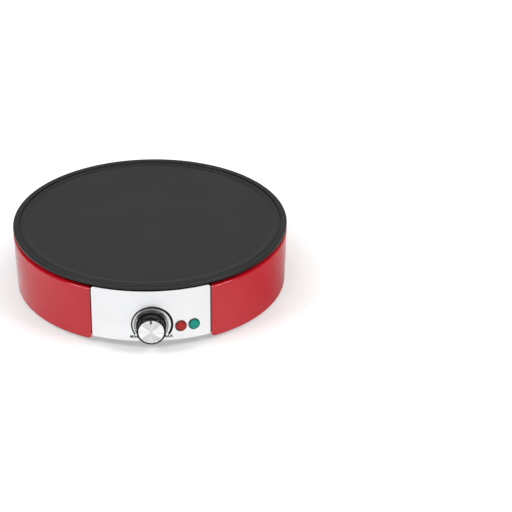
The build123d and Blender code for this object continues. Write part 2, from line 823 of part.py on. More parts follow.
with BuildPart() as thermostat_bracket:
    with BuildSketch(facing(0, knob_height).offset(bracket_back)):
        RectangleRounded(bracket_width, housing_height, housing_wall)
        Circle(bush_radius + screw_gap, mode=Mode.SUBTRACT)
        with GridLocations(thermostat_screw_spacing, 0, 2, 1):
            Circle(thermostat_screw_radius + screw_gap, mode=Mode.SUBTRACT)
    extrude(amount=bracket_thickness)
save(thermostat_bracket.part, "thermostat_bracket")

screw_x = thermostat_screw_spacing / 2
screw_seat = sqrt(plate_radius ** 2 - (screw_x - thermostat_screw_head) ** 2) + seat_gap / 2
with BuildPart() as thermostat_screws:
    for side in (-1, 1):
        seat = facing(0, knob_height)
        with BuildSketch(seat.offset(bracket_back - 1)):
            with Locations((side * screw_x, 0)):
                Circle(thermostat_screw_radius)
        extrude(amount=screw_seat - bracket_back + 1)
        with BuildSketch(seat.offset(screw_seat)):
            with Locations((side * screw_x, 0)):
                Circle(thermostat_screw_head)
        extrude(amount=skirt_thickness / 2)
        with BuildSketch(seat.offset(screw_seat + skirt_thickness / 4)):
            with Locations((side * screw_x, 0)):
                Rectangle(4, 0.8)
        extrude(amount=skirt_thickness / 4, mode=Mode.SUBTRACT)
save(thermostat_screws.part, "thermostat_screws")

adjuster_front = collar_back - adjuster_setback
adjuster_back = adjuster_front - adjuster_thickness
with BuildPart() as thermostat_adjuster:
    with BuildSketch(facing(0, knob_height).offset(adjuster_back)):
        Rectangle(adjuster_width, adjuster_width)
        Circle(thread_radius + running_gap, mode=Mode.SUBTRACT)
    extrude(amount=adjuster_thickness)
save(thermostat_adjuster.part, "thermostat_adjuster")

key_height = adjuster_width / 2
with BuildPart() as thermostat_housing:
    with BuildSketch(facing(0, knob_height).offset(housing_back)):
        RectangleRounded(housing_width, housing_height, housing_wall)
    extrude(amount=housing_depth)
    with BuildSketch(facing(0, knob_height).offset(inner_back)):
        Rectangle(housing_width - 2 * housing_wall, housing_height - 2 * housing_wall)
    extrude(amount=housing_depth, mode=Mode.SUBTRACT)
    # keyway ribs beside the adjuster
    key_inner = adjuster_width / 2 + slide_gap
    key_length = housing_width / 2 - housing_wall - key_inner
    with BuildSketch(facing(0, knob_height).offset(thread_end)):
        for side in (-1, 1):
            with Locations((side * (key_inner + key_length / 2), 0)):
                Rectangle(key_length, key_height)
    extrude(amount=collar_back - 1 - thread_end)
    # slots for the terminals and the hole of the capillary tube
    with BuildSketch(facing(0, tab_level).offset(housing_back)):
        with GridLocations(tab_spacing, 0, 2, 1):
            Rectangle(tab_thickness + 2 * slip_gap, tab_width + 2 * slip_gap)
    extrude(amount=housing_wall, mode=Mode.SUBTRACT)
    disc(Plane((0, -inner_back - capsule_thickness / 2, knob_height)),
         capillary_radius + slip_gap, housing_height, Mode.SUBTRACT)
save(thermostat_housing.part, "thermostat_housing")

with BuildPart() as thermostat_capsule:
    turned(knob_plane, knob_axis, [
        (0, inner_back),
        (capsule_radius / 2, inner_back),
        (capsule_radius, inner_back + capsule_thickness / 4),
        (capsule_radius, inner_back + capsule_thickness * 3 / 4),
        (capsule_radius / 2, inner_back + capsule_thickness),
        (0, inner_back + capsule_thickness),
    ])
save(thermostat_capsule.part, "thermostat_capsule")

contact_height = capsule_radius + 2 * contact_radius
half_tabs = tab_spacing / 2
with BuildPart() as switch_blade:
    low = tab_level - knob_height - tab_width / 2
    extrude(outline(facing(0, knob_height).offset(blade_face - blade_thickness), [
        (-half_tabs - 2 * tab_thickness, low),
        (blade_width / 2, low),
        (blade_width / 2, contact_height + contact_radius),
        (-blade_width / 2, contact_height + contact_radius),
        (-blade_width / 2, low + tab_width),
        (-half_tabs - 2 * tab_thickness, low + tab_width),
    ]), amount=blade_thickness)
save(switch_blade.part, "switch_blade")

contact_back = blade_face - blade_thickness - contact_thickness
fixed_face = contact_back - slide_gap - contact_thickness
with BuildPart() as switch_contacts:
    for level in (contact_back, fixed_face):
        disc(facing(0, knob_height + contact_height).offset(level), contact_radius,
             contact_thickness)
save(switch_contacts.part, "switch_contacts")

with BuildPart() as fixed_contact_arm:
    extrude(outline(facing(0, knob_height).offset(fixed_face - blade_thickness), [
        (half_tabs - 2 * tab_thickness, low),
        (half_tabs + 2 * tab_thickness, low),
        (half_tabs + 2 * tab_thickness, contact_height + contact_radius),
        (-contact_radius, contact_height + contact_radius),
        (-contact_radius, contact_height - contact_radius),
        (half_tabs - 2 * tab_thickness, contact_height - contact_radius),
    ]), amount=blade_thickness)
save(fixed_contact_arm.part, "fixed_contact_arm")

tab_back = housing_back - tab_reach
tab_fronts = {-1: blade_face - blade_thickness, 1: fixed_face - blade_thickness}
with BuildPart() as thermostat_terminals:
    for side, front in tab_fronts.items():
        with BuildSketch(facing(0, tab_level).offset(tab_back)):
            with Locations((side * half_tabs, 0)):
                Rectangle(tab_thickness, tab_width)
        extrude(amount=front - tab_back)
save(thermostat_terminals.part, "thermostat_terminals")

# ---------------------------------------------------------------- sensor and capillary tube
with BuildPart() as sensor_bulb:
    start = Plane((-sensor_length / 2, -sensor_offset, sensor_level), z_dir=(1, 0, 0))
    disc(start, sensor_radius, sensor_length)
    chamfer(sensor_bulb.edges().filter_by(GeomType.CIRCLE), sensor_radius / 2)
save(sensor_bulb.part, "sensor_bulb")

capillary_level = (knob_height + housing_height / 2 + reflector_under) / 2
capsule_y = -inner_back - capsule_thickness / 2
with BuildPart() as capillary_tube:
    lay_wire([
        (-sensor_length / 2, -sensor_offset, sensor_level),
        (capillary_drop_x, -sensor_offset, sensor_level),
        (capillary_drop_x, -sensor_offset, capillary_level),
        (0, capsule_y, capillary_level),
        (0, capsule_y, knob_height + capsule_radius),
    ], capillary_radius, 8 * capillary_radius - 1)
save(capillary_tube.part, "capillary_tube")


def p_clip(x, y, level, radius, way):
    """Sheet loop around a round body, with a flat ear against the plate's underside."""
    outer = radius + slip_gap + clip_thickness
    side = Plane((x - clip_width / 2, y, 0), x_dir=(0, 1, 0), z_dir=(1, 0, 0))
    with BuildSketch(side) as strip:
        with Locations((0, level)):
            Circle(outer)
        with Locations((way * (clip_reach + small_head) / 2, level + outer - clip_thickness / 2)):
            Rectangle(clip_reach + small_head, clip_thickness)
        with Locations((0, level)):
            Circle(radius + slip_gap, mode=Mode.SUBTRACT)
    extrude(strip.sketch, amount=clip_width)
    disc(Plane((x, y + way * clip_reach, level)), small_shank + slip_gap, outer, Mode.SUBTRACT)


with BuildPart() as bulb_clips:
    for side in (-1, 1):
        p_clip(side * sensor_clip_spacing / 2, -sensor_offset, sensor_level, sensor_radius, 1)
save(bulb_clips.part, "bulb_clips")

# ---------------------------------------------------------------- thermal fuse and earth
with BuildPart() as thermal_fuse:
    fuse_start = Plane((-fuse_length / 2, fuse_offset, fuse_level), z_dir=(1, 0, 0))
    disc(fuse_start, fuse_radius, fuse_length)
    disc(fuse_start.offset(fuse_length / 2 - sleeve_length / 2), wire_radius / 2, sleeve_length)
save(thermal_fuse.part, "thermal_fuse")

with BuildPart() as fuse_sleeve:
    sleeve_start = Plane((-sleeve_length / 2, fuse_offset, fuse_level), z_dir=(1, 0, 0))
    disc(sleeve_start, sleeve_radius, sleeve_length)
    disc(sleeve_start, fuse_radius + slip_gap, sleeve_length, Mode.SUBTRACT)
save(fuse_sleeve.part, "fuse_sleeve")

with BuildPart() as fuse_clip:
    p_clip(0, fuse_offset, fuse_level, sleeve_radius, -1)
save(fuse_clip.part, "fuse_clip")

with BuildPart() as earth_tag:
    tag_level = plate_under - earth_tag_thickness
    with BuildSketch(Plane((earth_tag_x, earth_tag_y, tag_level))):
        Circle(earth_tag_radius)
        with Locations((-earth_tag_radius - 2, 0)):
            Rectangle(earth_tag_radius + 4, 2 * wire_radius)
        Circle(small_shank + slip_gap, mode=Mode.SUBTRACT)
    extrude(amount=earth_tag_thickness)
save(earth_tag.part, "earth_tag")

ear_level = plate_under - clip_thickness - seat_gap
with BuildPart() as clip_screws:
    screws_up(clip_screw_points, ear_level, small_shank, small_head, small_head_height,
              clip_screw_depth + plate_under - ear_level)
save(clip_screws.part, "clip_screws")

# ---------------------------------------------------------------- indicator lamps
panel_face = plate_radius + seat_gap / 2
lens_back = panel_face - lens_body_length
holder_front = carrier_inner - slide_gap
holder_back = holder_front - holder_length
for name, turn in lens_turns.items():
    plane = lengthwise(turn, lamp_height)
    axis = outward_axis(turn, lamp_height)
    with BuildPart() as lens:
        with BuildSketch(plane):
            with BuildLine():
                inside = lens_body_radius - lens_wall
                side = Polyline((0, panel_face), (inside, panel_face), (inside, lens_back),
                                (lens_body_radius, lens_back), (lens_body_radius, panel_face),
                                (lens_radius, panel_face), (lens_radius, panel_face + lens_rim))
                top = (0, panel_face + lens_rim + lens_dome)
                dome = (lens_radius ** 2 + lens_dome ** 2) / (2 * lens_dome)
                RadiusArc(side @ 1, top, -dome)
                Line(top, (0, panel_face))
            make_face()
        revolve(axis=axis)
    save(lens.part, f"lens_{name}")

with BuildPart() as lamp_holders:
    for turn in lens_turns.values():
        plane = lengthwise(turn, lamp_height)
        axis = outward_axis(turn, lamp_height)
        inside = lens_body_radius + slip_gap
        turned(plane, axis, [
            (bulb_radius - slip_gap, holder_back),
            (inside + holder_wall, holder_back),
            (inside + holder_wall, holder_front),
            (inside, holder_front),
            (inside, holder_back + holder_wall),
            (bulb_radius - slip_gap, holder_back + holder_wall),
        ])
save(lamp_holders.part, "lamp_holders")

bulb_back = holder_back + holder_wall + slip_gap
with BuildPart() as neon_bulbs:
    for turn in lens_turns.values():
        plane = facing(turn, lamp_height)
        disc(plane.offset(bulb_back), bulb_radius, bulb_length)
        fillet(neon_bulbs.faces().sort_by(Axis(plane.origin, plane.z_dir))[-1].edges(),
               bulb_radius * 0.9)
        for rise in (-lead_spread, lead_spread):
            lead = facing(turn, lamp_height + rise)
            disc(lead.offset(bulb_back - 2 * holder_wall), lead_radius, 2 * holder_wall + 1)
save(neon_bulbs.part, "neon_bulbs")

resistor_back = bulb_back - 2 * holder_wall - resistor_length
with BuildPart() as lamp_resistors:
    for turn in lens_turns.values():
        plane = facing(turn, lamp_height - lead_spread)
        disc(plane.offset(resistor_back), resistor_radius, resistor_length)
save(lamp_resistors.part, "lamp_resistors")

# ---------------------------------------------------------------- cord gland
gland_seat = gland_radius + gland_flange_radius * wall_slope + seat_gap
gland_back = gland_radius - gland_inner_length
with BuildPart() as cord_gland:
    turned(lengthwise(180, gland_height), outward_axis(180, gland_height), [
        (gland_bore_radius, gland_back),
        (gland_body_radius, gland_back),
        (gland_body_radius, gland_seat),
        (gland_flange_radius, gland_seat),
        (gland_flange_radius, gland_seat + gland_flange_thickness / 2),
        (gland_flange_radius - 1, gland_seat + gland_flange_thickness),
        (gland_bore_radius, gland_seat + gland_flange_thickness),
    ])
save(cord_gland.part, "cord_gland")

# ---------------------------------------------------------------- terminal block and wiring
block_offset = wall_foot_radius - block_inset
bore_level = pan_top + block_height / 2
with BuildPart() as terminal_block:
    with BuildSketch(Plane.XY.offset(pan_top)):
        with Locations((0, block_offset)):
            Rectangle(block_width, block_depth)
    extrude(amount=block_height)
    chamfer(terminal_block.edges().filter_by(Axis.Z), 1)
    with BuildSketch(facing(180, bore_level).offset(block_offset - block_depth / 2)):
        with GridLocations(block_pitch, 0, 3, 1):
            Circle(block_bore)
    extrude(amount=block_depth, mode=Mode.SUBTRACT)
    with BuildSketch(Plane.XY.offset(bore_level)):
        with Locations((0, block_offset)):
            with GridLocations(block_pitch, block_depth / 2, 3, 2):
                Circle(small_shank + screw_gap)
    extrude(amount=block_height, mode=Mode.SUBTRACT)
save(terminal_block.part, "terminal_block")

block_top = pan_top + block_height
with BuildPart() as block_screws:
    with BuildSketch(Plane.XY.offset(bore_level + block_bore / 2)):
        with Locations((0, block_offset)):
            with GridLocations(block_pitch, block_depth / 2, 3, 2):
                Circle(small_shank)
    extrude(amount=block_top - bore_level - block_bore / 2 - slide_gap)
save(block_screws.part, "block_screws")

block_front = block_offset - block_depth / 2
pin_foot = pin_length - seal_length
fuse_end = sleeve_length / 2
low_run = pan_top + 5 * wire_radius
outer_pin = outer_foot - Vector(0, 0, pin_length)
inner_pin = inner_foot - Vector(0, 0, pin_length)

tab_end = tab_back - connector_length + 1
with BuildPart() as wire_live:
    lay_wire([
        (0, block_front, bore_level),
        (0, block_front - wire_exit, bore_level),
        (fuse_lead_x, fuse_offset, bore_level + live_rise),
        (fuse_lead_x, fuse_offset, fuse_level),
        (fuse_end, fuse_offset, fuse_level),
    ], wire_radius, wire_bend)
save(wire_live.part, "wire_live")

with BuildPart() as wire_fused:
    lay_wire([
        (-fuse_end, fuse_offset, fuse_level),
        (-fuse_lead_x, fuse_offset, fuse_level),
        (-fuse_lead_x, fuse_offset, low_run + fused_drop),
        (-fuse_lead_x, 0, low_run + fused_low),
        (-half_tabs, -fused_turn, tab_level),
        (-half_tabs, -tab_end, tab_level),
    ], wire_radius, wire_bend)
save(wire_fused.part, "wire_fused")

with BuildPart() as wire_switched:
    lay_wire([
        (half_tabs, -tab_end, tab_level),
        (half_tabs, -tab_end + switched_run, tab_level),
        (outer_pin.X - switched_run, outer_pin.Y - switched_back, tab_level + switched_rise),
        (outer_pin.X, outer_pin.Y, outer_pin.Z - pin_drop),
        (outer_pin.X, outer_pin.Y, outer_pin.Z - 1),
    ], wire_radius, wire_bend)
save(wire_switched.part, "wire_switched")

with BuildPart() as wire_neutral:
    lay_wire([
        (block_pitch, block_front, bore_level),
        (block_pitch, block_front - wire_exit, bore_level),
        (inner_pin.X, inner_pin.Y + neutral_back, bore_level + neutral_rise),
        (inner_pin.X, inner_pin.Y, inner_pin.Z - pin_drop),
        (inner_pin.X, inner_pin.Y, inner_pin.Z - 1),
    ], wire_radius, wire_bend)
save(wire_neutral.part, "wire_neutral")

with BuildPart() as wire_earth:
    lay_wire([
        (-block_pitch, block_front, bore_level),
        (-block_pitch, block_front - wire_exit, bore_level),
        (earth_tag_x - earth_side, earth_tag_y + earth_back, bore_level + earth_low),
        (earth_tag_x - earth_side, earth_tag_y, bore_level + earth_high),
        (earth_tag_x - earth_side, earth_tag_y, tag_level - wire_radius),
        (earth_tag_x - earth_tag_radius - 1, earth_tag_y, tag_level - wire_radius),
    ], wire_radius, wire_bend / 2)
save(wire_earth.part, "wire_earth")

# Each lamp has a feed from a thermostat tab, through its resistor, and a return to the
# neutral pin of the element.
connector_middle = -tab_end - connector_length / 2
join_level = inner_pin.Z + pin_foot / 2
lamp_joins = {
    "red": [(-half_tabs, connector_middle, tab_level + lamp_lift),
            (-half_tabs, connector_middle, tab_level + connector_width / 2)],
    "green": [(half_tabs + lamp_side, connector_middle, tab_level),
              (half_tabs + connector_height / 2, connector_middle, tab_level)],
}
lamp_turnings = {"red": [(half_tabs + lamp_side, connector_middle, tab_level + lamp_lift)],
                 "green": []}
for count, (name, turn) in enumerate(lens_turns.items()):
    feed_end = Vector(*from_front(resistor_back, turn), lamp_height - lead_spread)
    feed_turn = Vector(*from_front(resistor_back - lamp_feed_run, turn), lamp_height - lead_spread)
    return_end = Vector(*from_front(resistor_back + resistor_length, turn),
                        lamp_height + lead_spread)
    return_turn = Vector(*from_front(resistor_back - lamp_return_run, turn), lamp_height + lead_spread)
    pin_join = join_level + (count - 0.5) * 3 * lamp_wire_radius
    with BuildPart() as wire_lamp:
        lay_wire([feed_end, feed_turn, *lamp_turnings[name], *lamp_joins[name]],
                 lamp_wire_radius, wire_bend / 2)
        lay_wire([
            return_end,
            return_turn,
            (inner_pin.X, -lamp_return_turn - count * lamp_return_step, pin_join),
            (inner_pin.X, inner_pin.Y - wire_radius - 1, pin_join),
        ], lamp_wire_radius, wire_bend)
    save(wire_lamp.part, f"wire_lamp_{name}")

with BuildPart() as push_connectors:
    for side in (-1, 1):
        with BuildSketch(facing(0, tab_level).offset(tab_end)):
            with Locations((side * half_tabs, 0)):
                Rectangle(connector_height, connector_width)
        extrude(amount=connector_length)
        with BuildSketch(facing(0, tab_level).offset(tab_end + 1)):
            with Locations((side * half_tabs, 0)):
                Rectangle(tab_thickness + 2 * slip_gap, tab_width + 2 * slip_gap)
        extrude(amount=connector_length, mode=Mode.SUBTRACT)
    for pin in (outer_pin, inner_pin):
        disc(Plane(pin - Vector(0, 0, 1)), wire_radius + 1, pin_foot + 0.5)
        disc(Plane(pin), pin_radius + slip_gap, pin_foot, Mode.SUBTRACT)
save(push_connectors.part, "push_connectors")
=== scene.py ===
"""Round electric crepe maker: looks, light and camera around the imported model."""

import json
from math import atan2, cos, degrees, hypot, pi, radians, sin

import bpy
from mathutils import Matrix, Vector


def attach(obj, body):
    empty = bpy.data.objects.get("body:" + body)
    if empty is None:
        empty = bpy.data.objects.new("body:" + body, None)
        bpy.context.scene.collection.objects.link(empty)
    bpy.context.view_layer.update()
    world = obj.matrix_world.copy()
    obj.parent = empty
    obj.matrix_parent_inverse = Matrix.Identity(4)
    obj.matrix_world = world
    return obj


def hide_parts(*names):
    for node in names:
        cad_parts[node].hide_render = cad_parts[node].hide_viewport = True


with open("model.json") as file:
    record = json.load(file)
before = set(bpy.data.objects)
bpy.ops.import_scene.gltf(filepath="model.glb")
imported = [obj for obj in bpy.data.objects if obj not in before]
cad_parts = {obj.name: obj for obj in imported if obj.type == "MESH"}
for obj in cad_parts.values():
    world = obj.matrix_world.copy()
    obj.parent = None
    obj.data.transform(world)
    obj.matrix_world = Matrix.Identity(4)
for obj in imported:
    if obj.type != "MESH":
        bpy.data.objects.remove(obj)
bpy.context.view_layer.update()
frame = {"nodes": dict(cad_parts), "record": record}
nodes = frame["nodes"]
MM = 0.001

# ------------------------------------------------------------------ sizes of the hot plate
RIM_RADIUS = 160 * MM
RIM_TOP = 80 * MM
RIM_UNDER = 76 * MM
RIM_WIDTH = 7 * MM
GROOVE_DEPTH = 1.6 * MM
GROOVE_WIDTH = 1.2 * MM
LEDGE_LEVEL = 78.8 * MM
LEDGE_WIDTH = 4 * MM
SLOPE_WIDTH = 3 * MM
COOK_LEVEL = 78 * MM
PLATE_UNDER = 73 * MM
OVERHANG = 9 * MM  # how far the thin rim reaches past the plate's body
UNDERSIDE_SLOPE = 5 * MM
BOSS_CIRCLE = 87 * MM
PLATE_BOSS = (7 * MM, 58.8 * MM, 2.05 * MM)  # radius, foot level and bore
CLAMP_BOSS = (5 * MM, 66.1 * MM, 1.55 * MM)
BORE_DEPTH = 6 * MM

# ------------------------------------------------------------------ sizes of the side wall
SHEET = 1.2 * MM
WALL_FOOT_RADIUS = 158 * MM
WALL_FOOT = 4.7 * MM
WALL_TOP = 70.7 * MM
SHOULDER_WIDTH = 11 * MM
SHOULDER_RISE = 1.1 * MM
FLANGE_WIDTH = 18 * MM
OPENING = 67.4 * MM  # half the width of the front opening
CORNER = 7 * MM  # width of the round corners at the opening's foot
CORNER_SHARE = 0.55  # their height as a share of their width

# ------------------------------------------------------------------ sizes of the control panel
PANEL_LOW = 10.6 * MM
PANEL_HIGH = 74.4 * MM
PANEL_HALF = 66.2 * MM
PANEL_LIP = 2.9 * MM
TOP_CORNER = 3.5 * MM
BOTTOM_CORNER = 1.5 * MM
ROUND_HOLE = 5.1 * MM  # for the thermostat's bush and for each lens
SCREW_HOLE = 2.1 * MM
SCREW_OFFSET = 14 * MM
PRINT_FROM = 166 * MM  # radius at which a print starts before it is pressed onto the panel
ARC_INSIDE = 21.4 * MM
ARC_OUTSIDE = 23.6 * MM
ARC_SHIFTS = (0.5 * MM, 1.05 * MM)  # of the arc's inner and outer circle, so that it grows
ARC_END = 124  # degrees from the top
TICK_INSIDE = 19.9 * MM
TICK_OUTSIDE = 20.9 * MM
TICK_SHIFT = 0.4 * MM
TICK_END = 100
TICK_COUNT = 80  # on a whole turn
WORD_DROP = 15.4 * MM  # from the knob's axis down to the words
WORD_SIZE = 4.3 * MM
WORD_WEIGHT = 0.24 * MM  # how much bolder than the plain letters
MIN_START = -23.9 * MM  # where the one word starts and the other ends
MAX_END = 23.7 * MM

# ------------------------------------------------------------------ sizes of the knob
KNOB_HEIGHT = 31.4 * MM
KNOB_BACK = 160.7 * MM
KNOB_SIDES = 192
RIB_COUNT = 48
SKIRT_RADIUS = 19.2 * MM
SKIRT_EDGE = 1.2 * MM
SKIRT_LEVEL = 1.3 * MM
BAND_INSIDE = 17 * MM  # inner edge of the skirt's ribbed band
FINISH_END = 1.8 * MM  # how far out the skirt's finish reaches
BODY_RADIUS = 15.6 * MM
BODY_END = 13.1 * MM
LIP_RADIUS = 16.4775 * MM
LIP_LEVEL = 13.6 * MM
FRONT_RADIUS = 16.0875 * MM
FRONT_LEVEL = 14.2 * MM
CAP_RADIUS = 14.3 * MM
CAP_MIDDLE = 14.1 * MM
CAP_THICKNESS = 1 * MM
CAP_SEAT = 0.7 * MM  # how deep the cap's seat is
SEAT_RIM = 2.1 * MM  # width of the rim round it, which the cap's edge laps over
POINTER_MIDDLE = 12.15 * MM
POINTER_WIDTH = 1.6 * MM
POINTER_LENGTH = 4.6 * MM
NOTCH_GAP = 0.05 * MM  # between the pointer and each side of the cap's notch

# ------------------------------------------------------------------ sizes of the lenses and the gland
LAMP_HEIGHT = 27.8 * MM
LENS_FACE = 160.1 * MM
LENS_RADIUS = 6.5 * MM
LENS_RIM = 1 * MM  # level of the dome's foot
LENS_DOME = 1.7 * MM
RED_TURN = 11.9
GREEN_TURN = 17.4
GLAND_HEIGHT = 21 * MM
GLAND_SEAT = 159.01 * MM
GLAND_HOLE = 7.9 * MM
GLAND_RADIUS = 7.8 * MM
GLAND_LENGTH = 8.5 * MM
GLAND_FACE = 7.0571 * MM
GLAND_STEP = 1.2 * MM  # each of its two steps out from the wall
CORD_BORE = 3.6 * MM


# ------------------------------------------------------------------ modelling helpers
def clear_selection():
    """Object mode with nothing selected."""
    if bpy.context.object and bpy.context.object.mode != "OBJECT":
        bpy.ops.object.mode_set(mode="OBJECT")
    bpy.ops.object.select_all(action="DESELECT")


def begin(name):
    """Name the primitive just added and put its place and turn into its mesh."""
    piece = bpy.context.object
    piece.name = name
    piece.data.name = name
    bpy.ops.object.transform_apply(location=True, rotation=True, scale=True)
    return piece


def pick(piece, kind, test):
    """In edit mode, select the faces or edges that pass a test of their place."""
    bpy.ops.object.mode_set(mode="EDIT")
    bpy.ops.mesh.select_mode(type=kind)
    bpy.ops.mesh.select_all(action="DESELECT")
    bpy.ops.object.mode_set(mode="OBJECT")
    mesh = piece.data
    if kind == "FACE":
        for face in mesh.polygons:
            face.select = bool(test(face.center, face.normal))
    else:
        for edge in mesh.edges:
            a, b = (mesh.vertices[i].co for i in edge.vertices)
            edge.select = bool(test(a, b))
    bpy.ops.object.mode_set(mode="EDIT")


def extrude(x=0.0, y=0.0, z=0.0):
    """Pull the selection out by a distance."""
    bpy.ops.mesh.extrude_region_move(TRANSFORM_OT_translate={"value": (x, y, z)})


def widen(factor, centre=(0, 0, 0)):
    """Scale the selection about a centre, level only."""
    bpy.ops.transform.resize(value=(factor, factor, 1), center_override=centre)


def ring_edge(radius, level, slack=0.05 * MM):
    """Test for the edges of one level circle about the drum's axis."""
    def test(a, b):
        return all(abs(hypot(p.x, p.y) - radius) < slack and abs(p.z - level) < slack for p in (a, b))
    return test


def round_edges(piece, test, width, segments=3):
    """Bevel the edges that pass a test."""
    pick(piece, "EDGE", test)
    bpy.ops.mesh.bevel(offset=width, segments=segments, affect="EDGES", clamp_overlap=True)


def apply_modifier(piece, kind, **settings):
    """Add one modifier, set it and apply it."""
    bpy.context.view_layer.objects.active = piece
    modifier = piece.modifiers.new(kind.title(), kind)
    for key, value in settings.items():
        setattr(modifier, key, value)
    bpy.ops.object.modifier_apply(modifier=modifier.name)


def smooth(piece, angle=35):
    """Smooth shading with crisp edges, and flat faces that stay flat beside a rounded edge."""
    clear_selection()
    piece.select_set(True)
    bpy.context.view_layer.objects.active = piece
    bpy.ops.object.shade_smooth_by_angle(angle=radians(angle))
    apply_modifier(piece, "WEIGHTED_NORMAL", mode="FACE_AREA", weight=100, keep_sharp=True)


def join(*pieces):
    """Join pieces into the first one."""
    clear_selection()
    for piece in pieces:
        piece.select_set(True)
    bpy.context.view_layer.objects.active = pieces[0]
    bpy.ops.object.join()
    return pieces[0]


def cut(piece, cutter):
    """Cut one shape out of a piece and drop the cutter."""
    clear_selection()
    piece.select_set(True)
    apply_modifier(piece, "BOOLEAN", operation="DIFFERENCE", object=cutter, solver="EXACT")
    bpy.data.objects.remove(cutter)


def place(piece, turn, level, radius, across=0.0):
    """Turn a piece modelled along +Z outwards and set it at one turn, level and radius of the drum."""
    clear_selection()
    piece.select_set(True)
    bpy.context.view_layer.objects.active = piece
    piece.matrix_world = (Matrix.Rotation(radians(turn), 4, "Z")
                          @ Matrix.Translation((across, -radius, level))
                          @ Matrix.Rotation(radians(90), 4, "X"))
    bpy.ops.object.transform_apply(location=True, rotation=True, scale=True)


# ------------------------------------------------------------------ finishes
def new_finish(name):
    """Material with its node tree and its main shader."""
    finish = bpy.data.materials.new(name)
    finish.use_nodes = True
    tree = finish.node_tree
    return finish, tree, tree.nodes["Principled BSDF"]


def feed(tree, value, socket):
    """Give a socket a plain number or what another node puts out."""
    if isinstance(value, (int, float)):
        socket.default_value = value
    else:
        tree.links.new(value, socket)


def spot(tree, scale=(1, 1, 1), shift=(0, 0, 0)):
    """Object coordinates through a mapping."""
    where = tree.nodes.new("ShaderNodeTexCoord")
    mapping = tree.nodes.new("ShaderNodeMapping")
    mapping.inputs["Location"].default_value = shift
    mapping.inputs["Scale"].default_value = scale
    tree.links.new(where.outputs["Object"], mapping.inputs["Vector"])
    return mapping.outputs["Vector"]


def noise(tree, vector, scale, detail=4.0, roughness=0.55):
    """Noise pattern on some coordinates."""
    pattern = tree.nodes.new("ShaderNodeTexNoise")
    pattern.inputs["Scale"].default_value = scale
    pattern.inputs["Detail"].default_value = detail
    pattern.inputs["Roughness"].default_value = roughness
    tree.links.new(vector, pattern.inputs["Vector"])
    return pattern.outputs["Fac"]


def line_noise(tree, value, scale, detail, roughness=0.5):
    """Noise pattern along one value."""
    pattern = tree.nodes.new("ShaderNodeTexNoise")
    pattern.noise_dimensions = "1D"
    pattern.inputs["Scale"].default_value = scale
    pattern.inputs["Detail"].default_value = detail
    pattern.inputs["Roughness"].default_value = roughness
    tree.links.new(value, pattern.inputs["W"])
    return pattern.outputs["Fac"]


def maths(tree, operation, one, other=0):
    """One sum on one value and a number or another value."""
    node = tree.nodes.new("ShaderNodeMath")
    node.operation = operation
    tree.links.new(one, node.inputs[0])
    feed(tree, other, node.inputs[1])
    return node.outputs[0]


def spread(tree, value, low, high, start=0.3, end=0.7):
    """Map a pattern onto a range of values."""
    ranged = tree.nodes.new("ShaderNodeMapRange")
    ranged.inputs["From Min"].default_value = start
    ranged.inputs["From Max"].default_value = end
    ranged.inputs["To Min"].default_value = low
    ranged.inputs["To Max"].default_value = high
    tree.links.new(value, ranged.inputs["Value"])
    return ranged.outputs["Result"]


def tint(tree, value, dark, light, start=0.3, end=0.7):
    """Colour that runs from dark to light with a pattern."""
    ramp = tree.nodes.new("ShaderNodeValToRGB")
    ramp.color_ramp.elements[0].position = start
    ramp.color_ramp.elements[1].position = end
    ramp.color_ramp.elements[0].color = (*dark, 1)
    ramp.color_ramp.elements[1].color = (*light, 1)
    tree.links.new(value, ramp.inputs["Fac"])
    return ramp.outputs["Color"]


def blend(tree, amount, one, other, way="MIX"):
    """One colour laid over another by a number or a pattern."""
    mix = tree.nodes.new("ShaderNodeMix")
    mix.data_type = "RGBA"
    mix.blend_type = way
    feed(tree, amount, mix.inputs[0])
    tree.links.new(one, mix.inputs[6])
    tree.links.new(other, mix.inputs[7])
    return mix.outputs[2]


def bump(tree, height, strength, distance):
    """Relief from a height pattern."""
    relief = tree.nodes.new("ShaderNodeBump")
    relief.inputs["Strength"].default_value = strength
    relief.inputs["Distance"].default_value = distance
    tree.links.new(height, relief.inputs["Height"])
    return relief.outputs["Normal"]


def distance_from(tree, centre, scale=(1, 1, 1)):
    """Distance from a point, or from an axis where one scale is nought."""
    measure = tree.nodes.new("ShaderNodeVectorMath")
    measure.operation = "LENGTH"
    shift = [-c * k for c, k in zip(centre, scale)]
    tree.links.new(spot(tree, scale, shift), measure.inputs[0])
    return measure.outputs["Value"]


def around(tree, axis):
    """Direction that runs round one axis, for metal that is brushed or turned that way."""
    direction = tree.nodes.new("ShaderNodeTangent")
    direction.direction_type = "RADIAL"
    direction.axis = axis
    return direction.outputs["Tangent"]


def shade(colour, factor):
    """The same colour, darker or lighter."""
    return tuple(min(1.0, c * factor) for c in colour)


def plain_finish(name, colour, roughness, metallic=0.0, grain=900.0, relief=0.03 * MM, stretch=(1, 1, 1),
                 variation=0.12):
    """Colour, gloss and relief that all vary a little with a fine grain."""
    finish, tree, shader = new_finish(name)
    fine = noise(tree, spot(tree, stretch), grain)
    broad = noise(tree, spot(tree), 35.0, detail=3.0)
    shader.inputs["Metallic"].default_value = metallic
    tree.links.new(tint(tree, broad, shade(colour, 1 - variation), shade(colour, 1 + variation)),
                   shader.inputs["Base Color"])
    tree.links.new(spread(tree, fine, roughness * 0.85, min(1.0, roughness * 1.15)),
                   shader.inputs["Roughness"])
    if relief:
        tree.links.new(bump(tree, fine, 0.5, relief), shader.inputs["Normal"])
    return finish


